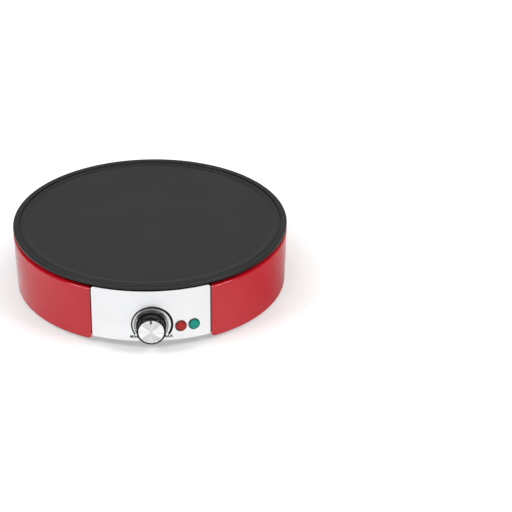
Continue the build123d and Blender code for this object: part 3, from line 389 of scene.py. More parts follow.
finishes = {
    "black_moulding": plain_finish("fine grained black moulding", (0.024, 0.024, 0.026), 0.46, grain=1400,
                                   relief=0.06 * MM),
    "foot_rubber": plain_finish("matt rubber", (0.032, 0.032, 0.032), 0.75, grain=600, relief=0.08 * MM),
    "zinc_steel": plain_finish("zinc plated steel", (0.62, 0.63, 0.64), 0.32, 1.0, grain=500),
    "spring_steel": plain_finish("spring steel", (0.5, 0.5, 0.5), 0.3, 1.0, grain=700, stretch=(1, 6, 1)),
    "element_sheath": plain_finish("heat tinted sheath", (0.26, 0.23, 0.21), 0.4, 1.0, variation=0.25),
    "bright_sheet": plain_finish("bright rolled sheet", (0.82, 0.82, 0.84), 0.22, 1.0, stretch=(1, 14, 1)),
    "ceramic": plain_finish("white ceramic", (0.82, 0.8, 0.74), 0.6, grain=400),
    "brass": plain_finish("brass", (0.75, 0.56, 0.25), 0.3, 1.0),
    "copper": plain_finish("copper", (0.78, 0.4, 0.24), 0.3, 1.0, variation=0.2),
    "thermostat_moulding": plain_finish("brown phenolic", (0.13, 0.085, 0.06), 0.5, relief=0.05 * MM),
    "clear_glass": plain_finish("neon bulb glass", (0.9, 0.72, 0.55), 0.1, relief=0.0),
    "white_nylon": plain_finish("natural nylon", (0.82, 0.8, 0.75), 0.45),
    "glass_sleeving": plain_finish("woven sleeving", (0.8, 0.78, 0.7), 0.8, grain=1800, relief=0.2 * MM),
    "wire_brown": plain_finish("brown insulation", (0.2, 0.08, 0.04), 0.5),
    "wire_blue": plain_finish("blue insulation", (0.04, 0.13, 0.42), 0.5),
    "wire_earth": plain_finish("green and yellow insulation", (0.35, 0.5, 0.04), 0.5),
    "wire_white": plain_finish("white insulation", (0.78, 0.78, 0.75), 0.5),
}


def coating_finish():
    """Black non-stick coating: fine peel, faint flecks, and painted shade that makes the rim a little darker.
    """
    finish, tree, shader = new_finish("non stick coating")
    peel = noise(tree, spot(tree), 1300, detail=3.0)
    cloud = noise(tree, spot(tree), 16, detail=5.0)
    fleck = noise(tree, spot(tree), 2600, detail=1.0)
    # painted shade: from here out to the edge, the rim band and its side face get a darker colour than the
    # cooking surface
    rim = spread(tree, distance_from(tree, (0, 0, 0), (1, 1, 0)), 0.0, 1.0,
                 RIM_RADIUS - 14 * MM, RIM_RADIUS - 8 * MM)
    cook = tint(tree, fleck, (0.016, 0.0165, 0.017), (0.03, 0.031, 0.032), 0.52, 0.78)
    # painted shade: the darker colour for the rim
    edge = tint(tree, fleck, (0.012, 0.0125, 0.013), (0.022, 0.023, 0.024), 0.52, 0.78)
    tree.links.new(blend(tree, rim, cook, edge), shader.inputs["Base Color"])
    tree.links.new(spread(tree, cloud, 0.36, 0.44), shader.inputs["Roughness"])
    tree.links.new(bump(tree, peel, 0.3, 0.04 * MM), shader.inputs["Normal"])
    shader.inputs["Specular IOR Level"].default_value = 0.3
    return finish


def enamel_finish():
    """Glossy red stove enamel with a slight orange peel."""
    finish, tree, shader = new_finish("red stove enamel")
    peel = noise(tree, spot(tree), 420, detail=2.0, roughness=0.4)
    cloud = noise(tree, spot(tree), 9, detail=2.0)
    tree.links.new(tint(tree, cloud, (0.53, 0.004, 0.013), (0.56, 0.006, 0.017)), shader.inputs["Base Color"])
    tree.links.new(spread(tree, peel, 0.08, 0.11), shader.inputs["Roughness"])
    tree.links.new(bump(tree, peel, 0.06, 0.04 * MM), shader.inputs["Normal"])
    return finish


def brushed_finish():
    """Satin steel sheet brushed from side to side."""
    finish, tree, shader = new_finish("satin brushed steel")
    streaks = noise(tree, spot(tree, (1, 1, 60)), 60, detail=6.0, roughness=0.7)
    broad = noise(tree, spot(tree, (1, 1, 8)), 14, detail=2.0)
    shader.inputs["Metallic"].default_value = 1.0
    tree.links.new(tint(tree, streaks, (0.79, 0.8, 0.812), (0.87, 0.877, 0.885), 0.35, 0.65),
                   shader.inputs["Base Color"])
    tree.links.new(spread(tree, broad, 0.3, 0.38), shader.inputs["Roughness"])
    tree.links.new(bump(tree, streaks, 0.15, 0.02 * MM), shader.inputs["Normal"])
    tree.links.new(around(tree, "Z"), shader.inputs["Tangent"])
    shader.inputs["Anisotropic"].default_value = 0.5
    return finish


def turn_about_knob(tree):
    """Angle about the knob's axis, and the place along it."""
    sweep = tree.nodes.new("ShaderNodeSeparateXYZ")
    tree.links.new(spot(tree, (1, 1, 1), (0, 0, -KNOB_HEIGHT)), sweep.inputs[0])
    return maths(tree, "ARCTAN2", sweep.outputs["X"], sweep.outputs["Z"]), sweep.outputs["Y"]


def knob_finish():
    """Glossy black moulding with a bright ribbed band round the skirt's face, and painted shade that darkens
    the band's outer ring.
    """
    finish, tree, shader = new_finish("glossy black")
    fine = noise(tree, spot(tree), 900, detail=3.0)
    broad = noise(tree, spot(tree), 60, detail=2.0)
    body = tint(tree, broad, (0.004, 0.004, 0.005), (0.007, 0.007, 0.008))
    angle, depth = turn_about_knob(tree)
    ribs = maths(tree, "SINE", maths(tree, "MULTIPLY", angle, RIB_COUNT))
    skirt = spread(tree, depth, 0.0, 1.0, -(KNOB_BACK + FINISH_END), 0.1 * MM - (KNOB_BACK + FINISH_END))
    out = distance_from(tree, (0, 0, KNOB_HEIGHT), (1, 0, 1))
    face = maths(tree, "MULTIPLY", skirt, spread(tree, out, 0.0, 1.0, BAND_INSIDE - 0.1 * MM, BAND_INSIDE))
    # painted shade: near the skirt's outer edge the band keeps only a quarter of its brightness
    band = maths(tree, "MULTIPLY", face,
                 spread(tree, out, 1.0, 0.25, SKIRT_RADIUS - 0.8 * MM, SKIRT_RADIUS - 0.6 * MM))
    rib = maths(tree, "MULTIPLY", spread(tree, ribs, 0.25, 1.0, -0.2, 0.3), band)
    bright = tint(tree, fine, (0.52, 0.52, 0.53), (0.66, 0.66, 0.67))
    tree.links.new(blend(tree, rib, body, bright), shader.inputs["Base Color"])
    tree.links.new(face, shader.inputs["Metallic"])
    shader.inputs["Specular IOR Level"].default_value = 0.25
    tree.links.new(spread(tree, broad, 0.08, 0.12), shader.inputs["Roughness"])
    tree.links.new(bump(tree, fine, 0.05, 0.01 * MM), shader.inputs["Normal"])
    return finish


def turned_finish():
    """Aluminium face turned on a lathe: fine rings and faint rays about the knob's axis."""
    finish, tree, shader = new_finish("turned aluminium face")
    rings = line_noise(tree, distance_from(tree, (0, 0, KNOB_HEIGHT), (1, 0, 1)), 4000, 3)
    rays = line_noise(tree, turn_about_knob(tree)[0], 5, 4, 0.65)
    shader.inputs["Metallic"].default_value = 1.0
    shader.inputs["Anisotropic"].default_value = 0.9
    tree.links.new(around(tree, "Y"), shader.inputs["Tangent"])
    tree.links.new(tint(tree, rays, (0.8, 0.8, 0.8), (0.99, 0.99, 0.99), 0.35, 0.65),
                   shader.inputs["Base Color"])
    tree.links.new(spread(tree, rings, 0.52, 0.6), shader.inputs["Roughness"])
    return finish


def lens_finish(name, turn, rim_shade_base, bright):
    """Tinted lens with painted shade that darkens it towards its rim."""
    finish, tree, shader = new_finish(name)
    centre = Matrix.Rotation(radians(turn), 3, "Z") @ Vector((0, -LENS_FACE, 0)) + Vector((0, 0, LAMP_HEIGHT))
    # painted shade: the colour runs from the lens colour at the middle to a quarter of the base colour at the
    # rim
    rim = spread(tree, distance_from(tree, centre), 1.0, 0.0, LENS_RADIUS - 1.6 * MM, LENS_RADIUS + 0.1 * MM)
    ripple = noise(tree, spot(tree), 500, detail=2.0)
    tree.links.new(tint(tree, rim, shade(rim_shade_base, 0.25), bright, 0.0, 1.0), shader.inputs["Base Color"])
    tree.links.new(spread(tree, ripple, 0.08, 0.13), shader.inputs["Roughness"])
    tree.links.new(bump(tree, ripple, 0.05, 0.03 * MM), shader.inputs["Normal"])
    shader.inputs["Specular IOR Level"].default_value = 0.25
    return finish


finishes["plate_coating"] = coating_finish()
finishes["red_enamel"] = enamel_finish()
finishes["satin_silver"] = brushed_finish()
finishes["knob_black"] = knob_finish()
finishes["cap_silver"] = turned_finish()
finishes["red_lens"] = lens_finish("red lens", RED_TURN, (0.33, 0.012, 0.012), (0.42, 0.014, 0.012))
finishes["green_lens"] = lens_finish("green lens", GREEN_TURN, (0.004, 0.2, 0.17), (0.004, 0.3, 0.23))
black_print = plain_finish("black print", (0.004, 0.004, 0.005), 0.7, grain=2000, relief=0.0)
grey_print = plain_finish("grey print", (0.5, 0.5, 0.51), 0.7, grain=2000, relief=0.0)
for ink in (black_print, grey_print):
    ink.node_tree.nodes["Principled BSDF"].inputs["Specular IOR Level"].default_value = 0.15


def dress(piece, slot, body, *stands_for):
    """Give a piece its finish, its body and the model parts that it stands for."""
    piece.data.materials.clear()
    piece.data.materials.append(finishes[slot])
    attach(piece, body)
    if stands_for:
        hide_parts(*stands_for)


for part in frame["record"]["subparts"]:
    node = nodes[part["node"]]
    node.data.materials.clear()
    node.data.materials.append(finishes[part["material_slot"]])

clear_selection()


# ------------------------------------------------------------------ hot plate
def make_hot_plate():
    """Cast plate with a raised rim, a groove, a ledge and bosses underneath."""
    bpy.ops.mesh.primitive_cylinder_add(vertices=360, radius=RIM_RADIUS, depth=RIM_TOP - RIM_UNDER,
                                        location=(0, 0, (RIM_TOP + RIM_UNDER) / 2))
    plate = begin("crepe_plate")
    pick(plate, "FACE", lambda c, n: n.z > 0.5)
    bpy.ops.mesh.inset(thickness=RIM_WIDTH)
    extrude(z=-GROOVE_DEPTH)
    bpy.ops.mesh.inset(thickness=GROOVE_WIDTH)
    extrude(z=LEDGE_LEVEL - (RIM_TOP - GROOVE_DEPTH))
    bpy.ops.mesh.inset(thickness=LEDGE_WIDTH)
    bpy.ops.mesh.inset(thickness=SLOPE_WIDTH)
    bpy.ops.transform.translate(value=(0, 0, COOK_LEVEL - LEDGE_LEVEL))
    pick(plate, "FACE", lambda c, n: n.z < -0.5)
    bpy.ops.mesh.inset(thickness=OVERHANG)
    extrude(z=PLATE_UNDER - RIM_UNDER)
    widen(1 - UNDERSIDE_SLOPE / (RIM_RADIUS - OVERHANG))
    rim_inside = RIM_RADIUS - RIM_WIDTH
    ledge_outside = rim_inside - GROOVE_WIDTH
    ledge_inside = ledge_outside - LEDGE_WIDTH
    round_edges(plate, ring_edge(RIM_RADIUS, RIM_TOP), 1.5 * MM, 6)
    round_edges(plate, ring_edge(RIM_RADIUS, RIM_UNDER), 0.6 * MM, 3)
    round_edges(plate, ring_edge(rim_inside, RIM_TOP), 0.9 * MM, 5)
    round_edges(plate, ring_edge(ledge_outside, LEDGE_LEVEL), 0.2 * MM, 2)
    round_edges(plate, ring_edge(ledge_inside, LEDGE_LEVEL), 0.6 * MM, 3)
    round_edges(plate, ring_edge(ledge_inside - SLOPE_WIDTH, COOK_LEVEL), 1.2 * MM, 3)
    clear_selection()
    bosses = []
    for turn in range(0, 360, 60):
        radius, foot, bore = PLATE_BOSS if turn % 120 == 0 else CLAMP_BOSS
        top = PLATE_UNDER + 1 * MM
        bpy.ops.mesh.primitive_cylinder_add(
            vertices=32, radius=radius, depth=top - foot,
            location=(BOSS_CIRCLE * cos(radians(turn)), BOSS_CIRCLE * sin(radians(turn)), (top + foot) / 2))
        boss = begin("boss")
        pick(boss, "FACE", lambda c, n: n.z < -0.5)
        bpy.ops.mesh.inset(thickness=radius - bore)
        extrude(z=BORE_DEPTH)
        clear_selection()
        bosses.append(boss)
    join(plate, *bosses)
    smooth(plate)
    return plate


dress(make_hot_plate(), "plate_coating", "housing", "hot_plate")


# ------------------------------------------------------------------ side wall
def make_side_wall():
    """Drawn sheet drum, open at the front, with a shoulder, a foot flange and the gland's hole."""
    height = WALL_TOP - WALL_FOOT
    bpy.ops.mesh.primitive_cone_add(vertices=360, radius1=WALL_FOOT_RADIUS, radius2=RIM_RADIUS, depth=height,
                                    end_fill_type="NOTHING", location=(0, 0, WALL_FOOT + height / 2))
    wall = begin("drum_wall")
    pick(wall, "EDGE", ring_edge(RIM_RADIUS, WALL_TOP))
    extrude(z=SHOULDER_RISE)
    widen(1 - SHOULDER_WIDTH / RIM_RADIUS)
    pick(wall, "EDGE", ring_edge(WALL_FOOT_RADIUS, WALL_FOOT))
    extrude()
    widen(1 - FLANGE_WIDTH / WALL_FOOT_RADIUS)
    bpy.ops.object.mode_set(mode="OBJECT")
    apply_modifier(wall, "SOLIDIFY", thickness=SHEET, offset=-1, use_even_offset=True)
    round_edges(wall, ring_edge(RIM_RADIUS, WALL_TOP), 1.5 * MM, 5)
    round_edges(wall, ring_edge(WALL_FOOT_RADIUS, WALL_FOOT), 0.7 * MM, 3)
    clear_selection()
    bpy.ops.mesh.primitive_cube_add(size=1, location=(0, -RIM_RADIUS, RIM_TOP / 2),
                                    scale=(2 * OPENING, 100 * MM, 90 * MM))
    opening = begin("opening")
    clear_selection()
    low = WALL_FOOT + CORNER_SHARE * CORNER
    bpy.ops.mesh.primitive_cube_add(size=1, location=(0, -RIM_RADIUS, low / 2 - 2 * MM),
                                    scale=(2 * (OPENING + CORNER), 100 * MM, low + 4 * MM))
    flare = begin("flare")
    for side in (-1, 1):
        clear_selection()
        bpy.ops.mesh.primitive_cylinder_add(
            vertices=64, radius=CORNER, depth=120 * MM, rotation=(pi / 2, 0, 0), scale=(1, CORNER_SHARE, 1),
            location=(side * (OPENING + CORNER), -RIM_RADIUS, low))
        cut(flare, begin("corner"))
    clear_selection()
    bpy.ops.mesh.primitive_cylinder_add(vertices=64, radius=GLAND_HOLE, depth=20 * MM,
                                        location=(0, WALL_FOOT_RADIUS, GLAND_HEIGHT), rotation=(pi / 2, 0, 0))
    gland_hole = begin("gland_hole")
    for cutter in (opening, flare, gland_hole):
        cut(wall, cutter)
    apply_modifier(wall, "BEVEL", width=0.2 * MM, segments=2, limit_method="ANGLE", angle_limit=radians(50))
    smooth(wall)
    return wall


dress(make_side_wall(), "red_enamel", "housing", "side_wall")


# ------------------------------------------------------------------ control panel
def clip_corner(panel, side, way, level, radius, steps):
    """Round one corner of the panel as seen from the front, by cuts that touch a circle."""
    centre = Vector((side * (PANEL_HALF - radius), 0, level - way * radius))
    for i in range(steps):
        angle = radians(90 * (i + 0.5) / steps)
        out = Vector((side * cos(angle), 0, way * sin(angle)))
        pick(panel, "FACE", lambda c, n: side * c.x > 55 * MM)
        bpy.ops.mesh.bisect(plane_co=centre + out * radius, plane_no=out, clear_outer=True)
    bpy.ops.object.mode_set(mode="OBJECT")


def make_panel():
    """Curved satin sheet with rounded corners, folded side lips and holes for what it carries."""
    bpy.ops.mesh.primitive_cylinder_add(vertices=720, radius=RIM_RADIUS, depth=PANEL_HIGH - PANEL_LOW,
                                        end_fill_type="NOTHING",
                                        location=(0, 0, (PANEL_HIGH + PANEL_LOW) / 2))
    panel = begin("front_panel")
    pick(panel, "FACE", lambda c, n: c.y > -RIM_RADIUS * 0.8)
    bpy.ops.mesh.delete(type="FACE")
    for side in (-1, 1):
        pick(panel, "FACE", lambda c, n: True)
        bpy.ops.mesh.bisect(plane_co=(side * PANEL_HALF, 0, 0), plane_no=(side, 0, 0), clear_outer=True)
        clip_corner(panel, side, 1, PANEL_HIGH, TOP_CORNER, 8)
        clip_corner(panel, side, -1, PANEL_LOW, BOTTOM_CORNER, 5)
    pick(panel, "EDGE", lambda a, b: min(abs(a.x), abs(b.x)) > PANEL_HALF - 0.02 * MM)
    extrude(y=PANEL_LIP)
    bpy.ops.object.mode_set(mode="OBJECT")
    apply_modifier(panel, "SOLIDIFY", thickness=SHEET, offset=-1, use_even_offset=True)
    apply_modifier(panel, "BEVEL", width=0.25 * MM, segments=2, limit_method="ANGLE", angle_limit=radians(50))
    clear_selection()
    cutters = []
    for turn, across, up, radius in ((0, 0, KNOB_HEIGHT, ROUND_HOLE),
                                     (0, -SCREW_OFFSET, KNOB_HEIGHT, SCREW_HOLE),
                                     (0, SCREW_OFFSET, KNOB_HEIGHT, SCREW_HOLE),
                                     (RED_TURN, 0, LAMP_HEIGHT, ROUND_HOLE),
                                     (GREEN_TURN, 0, LAMP_HEIGHT, ROUND_HOLE)):
        out = Matrix.Rotation(radians(turn), 3, "Z") @ Vector((across, -WALL_FOOT_RADIUS, 0))
        bpy.ops.mesh.primitive_cylinder_add(vertices=40, radius=radius, depth=12 * MM,
                                            location=(out.x, out.y, up), rotation=(pi / 2, 0, radians(turn)))
        cutters.append(begin("hole"))
        clear_selection()
    cut(panel, join(*cutters))
    smooth(panel)
    return panel


panel = make_panel()
dress(panel, "satin_silver", "housing", "control_panel")


# ------------------------------------------------------------------ print on the panel
def lay_on_panel(piece, ink):
    """Press a flat print onto the panel and give it the thickness of ink."""
    clear_selection()
    piece.select_set(True)
    apply_modifier(piece, "SHRINKWRAP", target=panel, wrap_method="PROJECT", use_project_y=True,
                   use_positive_direction=True, use_negative_direction=False, offset=0.04 * MM)
    apply_modifier(piece, "SOLIDIFY", thickness=0.05 * MM, offset=0)
    piece.data.materials.clear()
    piece.data.materials.append(ink)
    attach(piece, "housing")


def make_arc():
    """Printed heat scale that grows clockwise from MIN to MAX."""
    clear_selection()
    inner_shift, outer_shift = ARC_SHIFTS
    bpy.ops.mesh.primitive_circle_add(vertices=360, radius=ARC_INSIDE, fill_type="NOTHING",
                                      location=(inner_shift, 0, 0))
    arc = begin("heat_scale")
    pick(arc, "EDGE", lambda a, b: True)
    extrude()
    widen(ARC_OUTSIDE / ARC_INSIDE, (inner_shift, 0, 0))
    bpy.ops.transform.translate(value=(outer_shift - inner_shift, 0, 0))
    pick(arc, "FACE", lambda c, n: abs(degrees(atan2(c.x, c.y))) > ARC_END)
    bpy.ops.mesh.delete(type="FACE")
    place(arc, 0, KNOB_HEIGHT, PRINT_FROM)
    lay_on_panel(arc, black_print)


def make_ticks():
    """Fine printed ticks between the knob's skirt and the heat scale."""
    clear_selection()
    sides = 4 * TICK_COUNT
    bpy.ops.mesh.primitive_circle_add(vertices=sides, radius=TICK_INSIDE, fill_type="NOTHING",
                                      location=(TICK_SHIFT, 0, 0))
    ticks = begin("scale_ticks")
    pick(ticks, "EDGE", lambda a, b: True)
    extrude()
    widen(TICK_OUTSIDE / TICK_INSIDE, (TICK_SHIFT, 0, 0))
    pick(ticks, "FACE", lambda c, n: abs(degrees(atan2(c.x, c.y))) > TICK_END
         or int(degrees(atan2(c.x, c.y)) * sides / 360 + sides) % 4 > 0)
    bpy.ops.mesh.delete(type="FACE")
    place(ticks, 0, KNOB_HEIGHT, PRINT_FROM)
    lay_on_panel(ticks, grey_print)


def make_word(word, side, across):
    """Printed word beside the end of the heat scale."""
    clear_selection()
    bpy.ops.object.text_add()
    text = bpy.context.object
    text.data.body = word
    text.data.size = WORD_SIZE
    text.data.space_character = 1.18
    text.data.align_x = side
    text.data.align_y = "CENTER"
    text.data.offset = WORD_WEIGHT
    bpy.ops.object.convert(target="MESH")
    text = begin("word_" + word.lower())
    place(text, 0, KNOB_HEIGHT - WORD_DROP, PRINT_FROM, across)
    lay_on_panel(text, black_print)


make_arc()
make_ticks()
make_word("MIN", "LEFT", MIN_START)
make_word("MAX", "RIGHT", MAX_END)


# ------------------------------------------------------------------ knob and cap
def make_knob():
    """Moulded knob: ribbed skirt, straight body with a lip, seat for the cap, hollow back with a hub."""
    clear_selection()
    bpy.ops.mesh.primitive_cylinder_add(vertices=KNOB_SIDES, radius=SKIRT_RADIUS, depth=SKIRT_EDGE,
                                        location=(0, 0, SKIRT_EDGE / 2))
    knob = begin("heat_knob")
    pick(knob, "FACE", lambda c, n: n.z > 0.5)
    extrude(z=SKIRT_LEVEL - SKIRT_EDGE)
    widen(BAND_INSIDE / SKIRT_RADIUS)
    bpy.ops.mesh.inset(thickness=BAND_INSIDE - BODY_RADIUS)
    extrude(z=BODY_END - SKIRT_LEVEL)
    extrude(z=LIP_LEVEL - BODY_END)
    widen(LIP_RADIUS / BODY_RADIUS)
    extrude(z=FRONT_LEVEL - LIP_LEVEL)
    widen(FRONT_RADIUS / LIP_RADIUS)
    bpy.ops.mesh.inset(thickness=SEAT_RIM)
    extrude(z=-CAP_SEAT)
    hollow_knob(knob)
    sides = KNOB_SIDES // RIB_COUNT
    pick(knob, "FACE", lambda c, n: SKIRT_EDGE + 0.02 * MM < c.z < SKIRT_LEVEL - 0.02 * MM and n.z > 0.9
         and int(degrees(atan2(c.y, c.x)) * KNOB_SIDES / 360 + 500) % sides < sides / 2)
    bpy.ops.mesh.inset(thickness=0.12 * MM, depth=0.12 * MM)
    smooth(knob)
    place(knob, 0, KNOB_HEIGHT, KNOB_BACK)
    return knob


def hollow_knob(knob):
    """Recess behind the skirt, hollow body round a hub, and the hub's bore for the spindle."""
    recess, recess_end, hollow, hollow_end = 18 * MM, 15.4 * MM, 14.2 * MM, 14.7 * MM
    hub, bore, hollow_depth, bore_depth = 6.5 * MM, 3.05 * MM, 11 * MM, 10.4 * MM
    pick(knob, "FACE", lambda c, n: n.z < -0.5 and c.z < 0.1 * MM)
    bpy.ops.mesh.inset(thickness=SKIRT_RADIUS - recess)
    extrude(z=0.3 * MM)
    extrude(z=SKIRT_EDGE - 0.3 * MM)
    widen(recess_end / recess)
    bpy.ops.mesh.inset(thickness=recess_end - hollow)
    extrude(z=hollow_depth - SKIRT_EDGE)
    widen(hollow_end / hollow)
    bpy.ops.mesh.inset(thickness=hollow_end - hub)
    extrude(z=-hollow_depth)
    bpy.ops.mesh.inset(thickness=hub - bore)
    extrude(z=bore_depth)


def make_cap():
    """Turned aluminium disc with a bevelled edge and a notch for the pointer."""
    clear_selection()
    bpy.ops.mesh.primitive_cylinder_add(vertices=KNOB_SIDES, radius=CAP_RADIUS, depth=CAP_THICKNESS,
                                        location=(0, 0, CAP_MIDDLE))
    cap = begin("knob_face")
    round_edges(cap, ring_edge(CAP_RADIUS, CAP_MIDDLE + CAP_THICKNESS / 2), 0.35 * MM, 3)
    clear_selection()
    bpy.ops.mesh.primitive_cube_add(
        size=1, location=(0, POINTER_MIDDLE + NOTCH_GAP, CAP_MIDDLE),
        scale=(POINTER_WIDTH + 2 * NOTCH_GAP, POINTER_LENGTH + 4 * NOTCH_GAP, 3 * CAP_THICKNESS))
    cut(cap, begin("notch"))
    smooth(cap)
    place(cap, 0, KNOB_HEIGHT, KNOB_BACK)
    return cap


def make_pointer():
    """Black pointer bar that fills the cap's notch."""
    clear_selection()
    bpy.ops.mesh.primitive_cube_add(size=1, location=(0, POINTER_MIDDLE, CAP_MIDDLE - 0.1 * MM),
                                    scale=(POINTER_WIDTH, POINTER_LENGTH, CAP_THICKNESS))
    pointer = begin("knob_pointer")
    round_edges(pointer, lambda a, b: min(a.z, b.z) > CAP_MIDDLE + 0.2 * MM, 0.15 * MM, 2)
    clear_selection()
    smooth(pointer)
    place(pointer, 0, KNOB_HEIGHT, KNOB_BACK)
    return pointer


dress(make_knob(), "knob_black", "thermostat_knob", "knob")
dress(make_cap(), "cap_silver", "thermostat_knob", "knob_cap")
dress(make_pointer(), "knob_black", "thermostat_knob")


# ------------------------------------------------------------------ indicator lenses
def make_lens(name, turn):
    """Domed face of a lens, an open sheet with no rim or barrel behind it."""
    clear_selection()
    dome_radius = (LENS_RADIUS ** 2 + LENS_DOME ** 2) / (2 * LENS_DOME)
    bpy.ops.mesh.primitive_uv_sphere_add(segments=64, ring_count=96, radius=dome_radius,
                                         location=(0, 0, LENS_RIM + LENS_DOME - dome_radius))
    lens = begin(name)
    pick(lens, "FACE", lambda c, n: True)
    bpy.ops.mesh.bisect(plane_co=(0, 0, LENS_RIM), plane_no=(0, 0, 1), clear_inner=True)
    bpy.ops.mesh.select_all(action="SELECT")
    bpy.ops.mesh.normals_make_consistent(inside=False)
    smooth(lens, 40)
    place(lens, turn, LAMP_HEIGHT, LENS_FACE)
    return lens


dress(make_lens("lamp_lens_red", RED_TURN), "red_lens", "housing", "lens_red")
dress(make_lens("lamp_lens_green", GREEN_TURN), "green_lens", "housing", "lens_green")


# ------------------------------------------------------------------ cord gland
def make_gland():
    """Cord gland without a flange: plug that stands out of the wall, ring groove, bore."""
    clear_selection()
    groove_outside, groove_inside, groove_depth = 5.8571 * MM, 5.2571 * MM, 0.5 * MM
    bpy.ops.mesh.primitive_cylinder_add(vertices=96, radius=GLAND_RADIUS, depth=GLAND_LENGTH,
                                        location=(0, 0, -GLAND_LENGTH / 2))
    gland = begin("rear_gland")
    pick(gland, "FACE", lambda c, n: n.z > 0.5)
    extrude(z=GLAND_STEP)
    extrude(z=GLAND_STEP)
    widen(GLAND_FACE / GLAND_RADIUS)
    bpy.ops.mesh.inset(thickness=GLAND_FACE - groove_outside)
    extrude(z=-groove_depth)
    bpy.ops.mesh.inset(thickness=groove_outside - groove_inside)
    extrude(z=groove_depth)
    clear_selection()
    bpy.ops.mesh.primitive_cylinder_add(vertices=96, radius=CORD_BORE, depth=30 * MM)
    cut(gland, begin("bore"))
    smooth(gland)
    place(gland, 180, GLAND_HEIGHT, GLAND_SEAT)
    return gland


dress(make_gland(), "black_moulding", "housing", "cord_gland")


# ------------------------------------------------------------------ floor, light and camera
def white_floor():
    """Pale floor, white to the camera beyond the shadow, and duller in what the right side mirrors."""
    finish, tree, shader = new_finish("white floor")
    shader.inputs["Roughness"].default_value = 0.3
    shader.inputs["Specular IOR Level"].default_value = 0.2
    rays = tree.nodes.new("ShaderNodeLightPath")
    plan = tree.nodes.new("ShaderNodeSeparateXYZ")
    tree.links.new(spot(tree), plan.inputs[0])
    turned = maths(tree, "ARCTAN2", plan.outputs["X"], maths(tree, "MULTIPLY", plan.outputs["Y"], -1))
    mirrored = maths(tree, "MAXIMUM", rays.outputs["Is Glossy Ray"], rays.outputs["Is Transmission Ray"])
    right = maths(tree, "MULTIPLY", spread(tree, turned, 0.0, 1.0, radians(36), radians(68)),
                  spread(tree, turned, 1.0, 0.0, radians(80), radians(122)))
    dulled = maths(tree, "MULTIPLY", mirrored, right)
    pale = tint(tree, dulled, (0.82, 0.82, 0.82), (0.4, 0.4, 0.4), 0.0, 1.0)
    seen = tint(tree, rays.outputs["Is Camera Ray"], (1, 1, 1), (0.61, 0.61, 0.61), 0.0, 1.0)
    tree.links.new(blend(tree, 1, pale, seen, "MULTIPLY"), shader.inputs["Base Color"])
    away = distance_from(tree, (0, 0, 0), (1, 1, 0))
    sides = spread(tree, maths(tree, "ABSOLUTE", turned), 0.04, 0.16, 0.0, radians(22))
    glow = maths(tree, "MULTIPLY", maths(tree, "MULTIPLY", mirrored, sides), spread(tree, dulled, 1, 0, 0, 1))
    glow = maths(tree, "MULTIPLY", glow,
                 spread(tree, away, 0.0, 1.0, RIM_RADIUS - 8 * MM, RIM_RADIUS + 8 * MM))
    far = spread(tree, away, 0.44, 0.8, RIM_RADIUS + 5 * MM, 1.5 * RIM_RADIUS)
    glow = maths(tree, "ADD", glow, maths(tree, "MULTIPLY", rays.outputs["Is Camera Ray"], far))
    shader.inputs["Emission Color"].default_value = (1, 1, 1, 1)
    tree.links.new(glow, shader.inputs["Emission Strength"])
    return finish


def make_floor():
    """Wide level floor under the feet."""
    clear_selection()
    bpy.ops.mesh.primitive_plane_add(size=12, location=(0, 0, 0))
    floor = begin("floor")
    floor.data.materials.append(white_floor())


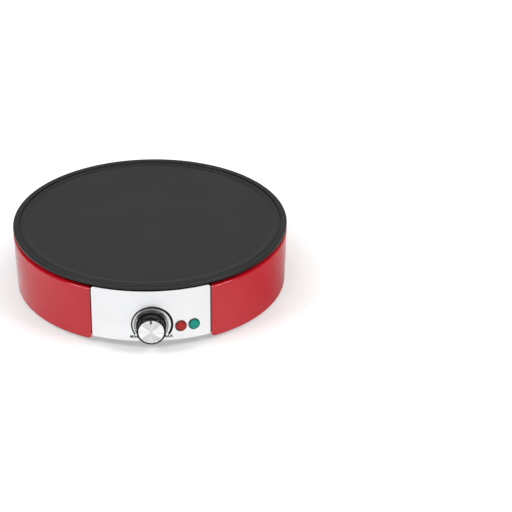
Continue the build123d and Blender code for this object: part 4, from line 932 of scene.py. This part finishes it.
def make_world():
    """Studio: soft light from behind, a bright card in front that only gloss mirrors, white to the camera."""
    world = bpy.data.worlds.new("studio")
    bpy.context.scene.world = world
    world.use_nodes = True
    sky = world.node_tree
    way = sky.nodes.new("ShaderNodeTexCoord")
    split = sky.nodes.new("ShaderNodeSeparateXYZ")
    sky.links.new(way.outputs["Generated"], split.inputs[0])
    behind = spread(sky, split.outputs["Y"], 0.16, 0.5, 0.0, 0.7)
    low = spread(sky, split.outputs["Z"], 1.0, 0.4, 0.5, 0.9)
    rays = sky.nodes.new("ShaderNodeLightPath")
    facing = maths(sky, "ARCTAN2", split.outputs["X"], maths(sky, "MULTIPLY", split.outputs["Y"], -1))
    card = spread(sky, maths(sky, "ABSOLUTE", facing), 1.6, 0.0, radians(15), radians(55))
    card = maths(sky, "MULTIPLY", card, spread(sky, split.outputs["Z"], 0.0, 1.0, 0.05, 0.2))
    card = maths(sky, "MULTIPLY", card, spread(sky, split.outputs["Z"], 1.2, 0.0, 0.8, 0.95))
    card = maths(sky, "MULTIPLY", card, rays.outputs["Is Glossy Ray"])
    glow = maths(sky, "MAXIMUM", maths(sky, "ADD", maths(sky, "MULTIPLY", behind, low), card),
                 rays.outputs["Is Camera Ray"])
    sky.links.new(glow, sky.nodes["Background"].inputs["Strength"])
    sky.nodes["Background"].inputs["Color"].default_value = (1, 1, 1, 1)


def add_light(name, place_at, width, height, power):
    """Soft box aimed at the drum."""
    clear_selection()
    bpy.ops.object.light_add(type="AREA", location=place_at)
    light = bpy.context.object
    light.name = name
    light.data.shape = "RECTANGLE"
    light.data.size = width
    light.data.size_y = height
    light.data.energy = power
    aim = Vector((0, 0, 30 * MM))
    light.rotation_euler = (Vector(place_at) - aim).to_track_quat("Z", "Y").to_euler()
    return light


def make_camera():
    """Long lens from the front and above, turned a little off the drum's axis."""
    turn, height, distance = radians(0.6), radians(27.94), 14.262 * RIM_RADIUS
    pan, tilt, roll = radians(3.53), radians(1.11), radians(0.43)
    stand = Vector((0, 0, RIM_TOP)) + distance * Vector((
        sin(turn) * cos(height), -cos(turn) * cos(height), sin(height)))
    bpy.ops.object.camera_add()
    camera = bpy.context.object
    camera.name = "camera"
    camera.data.lens = 136.7
    camera.data.sensor_width = 36
    camera.data.clip_start = 0.05
    camera.data.clip_end = 50
    camera.matrix_world = (Matrix.Translation(stand) @ Matrix.Rotation(turn - pan, 4, "Z")
                           @ Matrix.Rotation(pi / 2 - height - tilt, 4, "X") @ Matrix.Rotation(roll, 4, "Z"))
    bpy.context.scene.camera = camera


make_floor()
make_world()
add_light("front box", (-0.15, -1.3, 1.7), 0.9, 0.6, 8).visible_glossy = False
add_light("left box", (-1.35, -0.7, 1.5), 0.9, 0.5, 25).data.color = (0.94, 0.97, 1.0)
add_light("right box", (1.35, -0.7, 1.5), 0.9, 0.5, 25).data.color = (1.0, 0.98, 0.95)
make_camera()
bpy.context.scene.view_settings.view_transform = "Standard"

clear_selection()
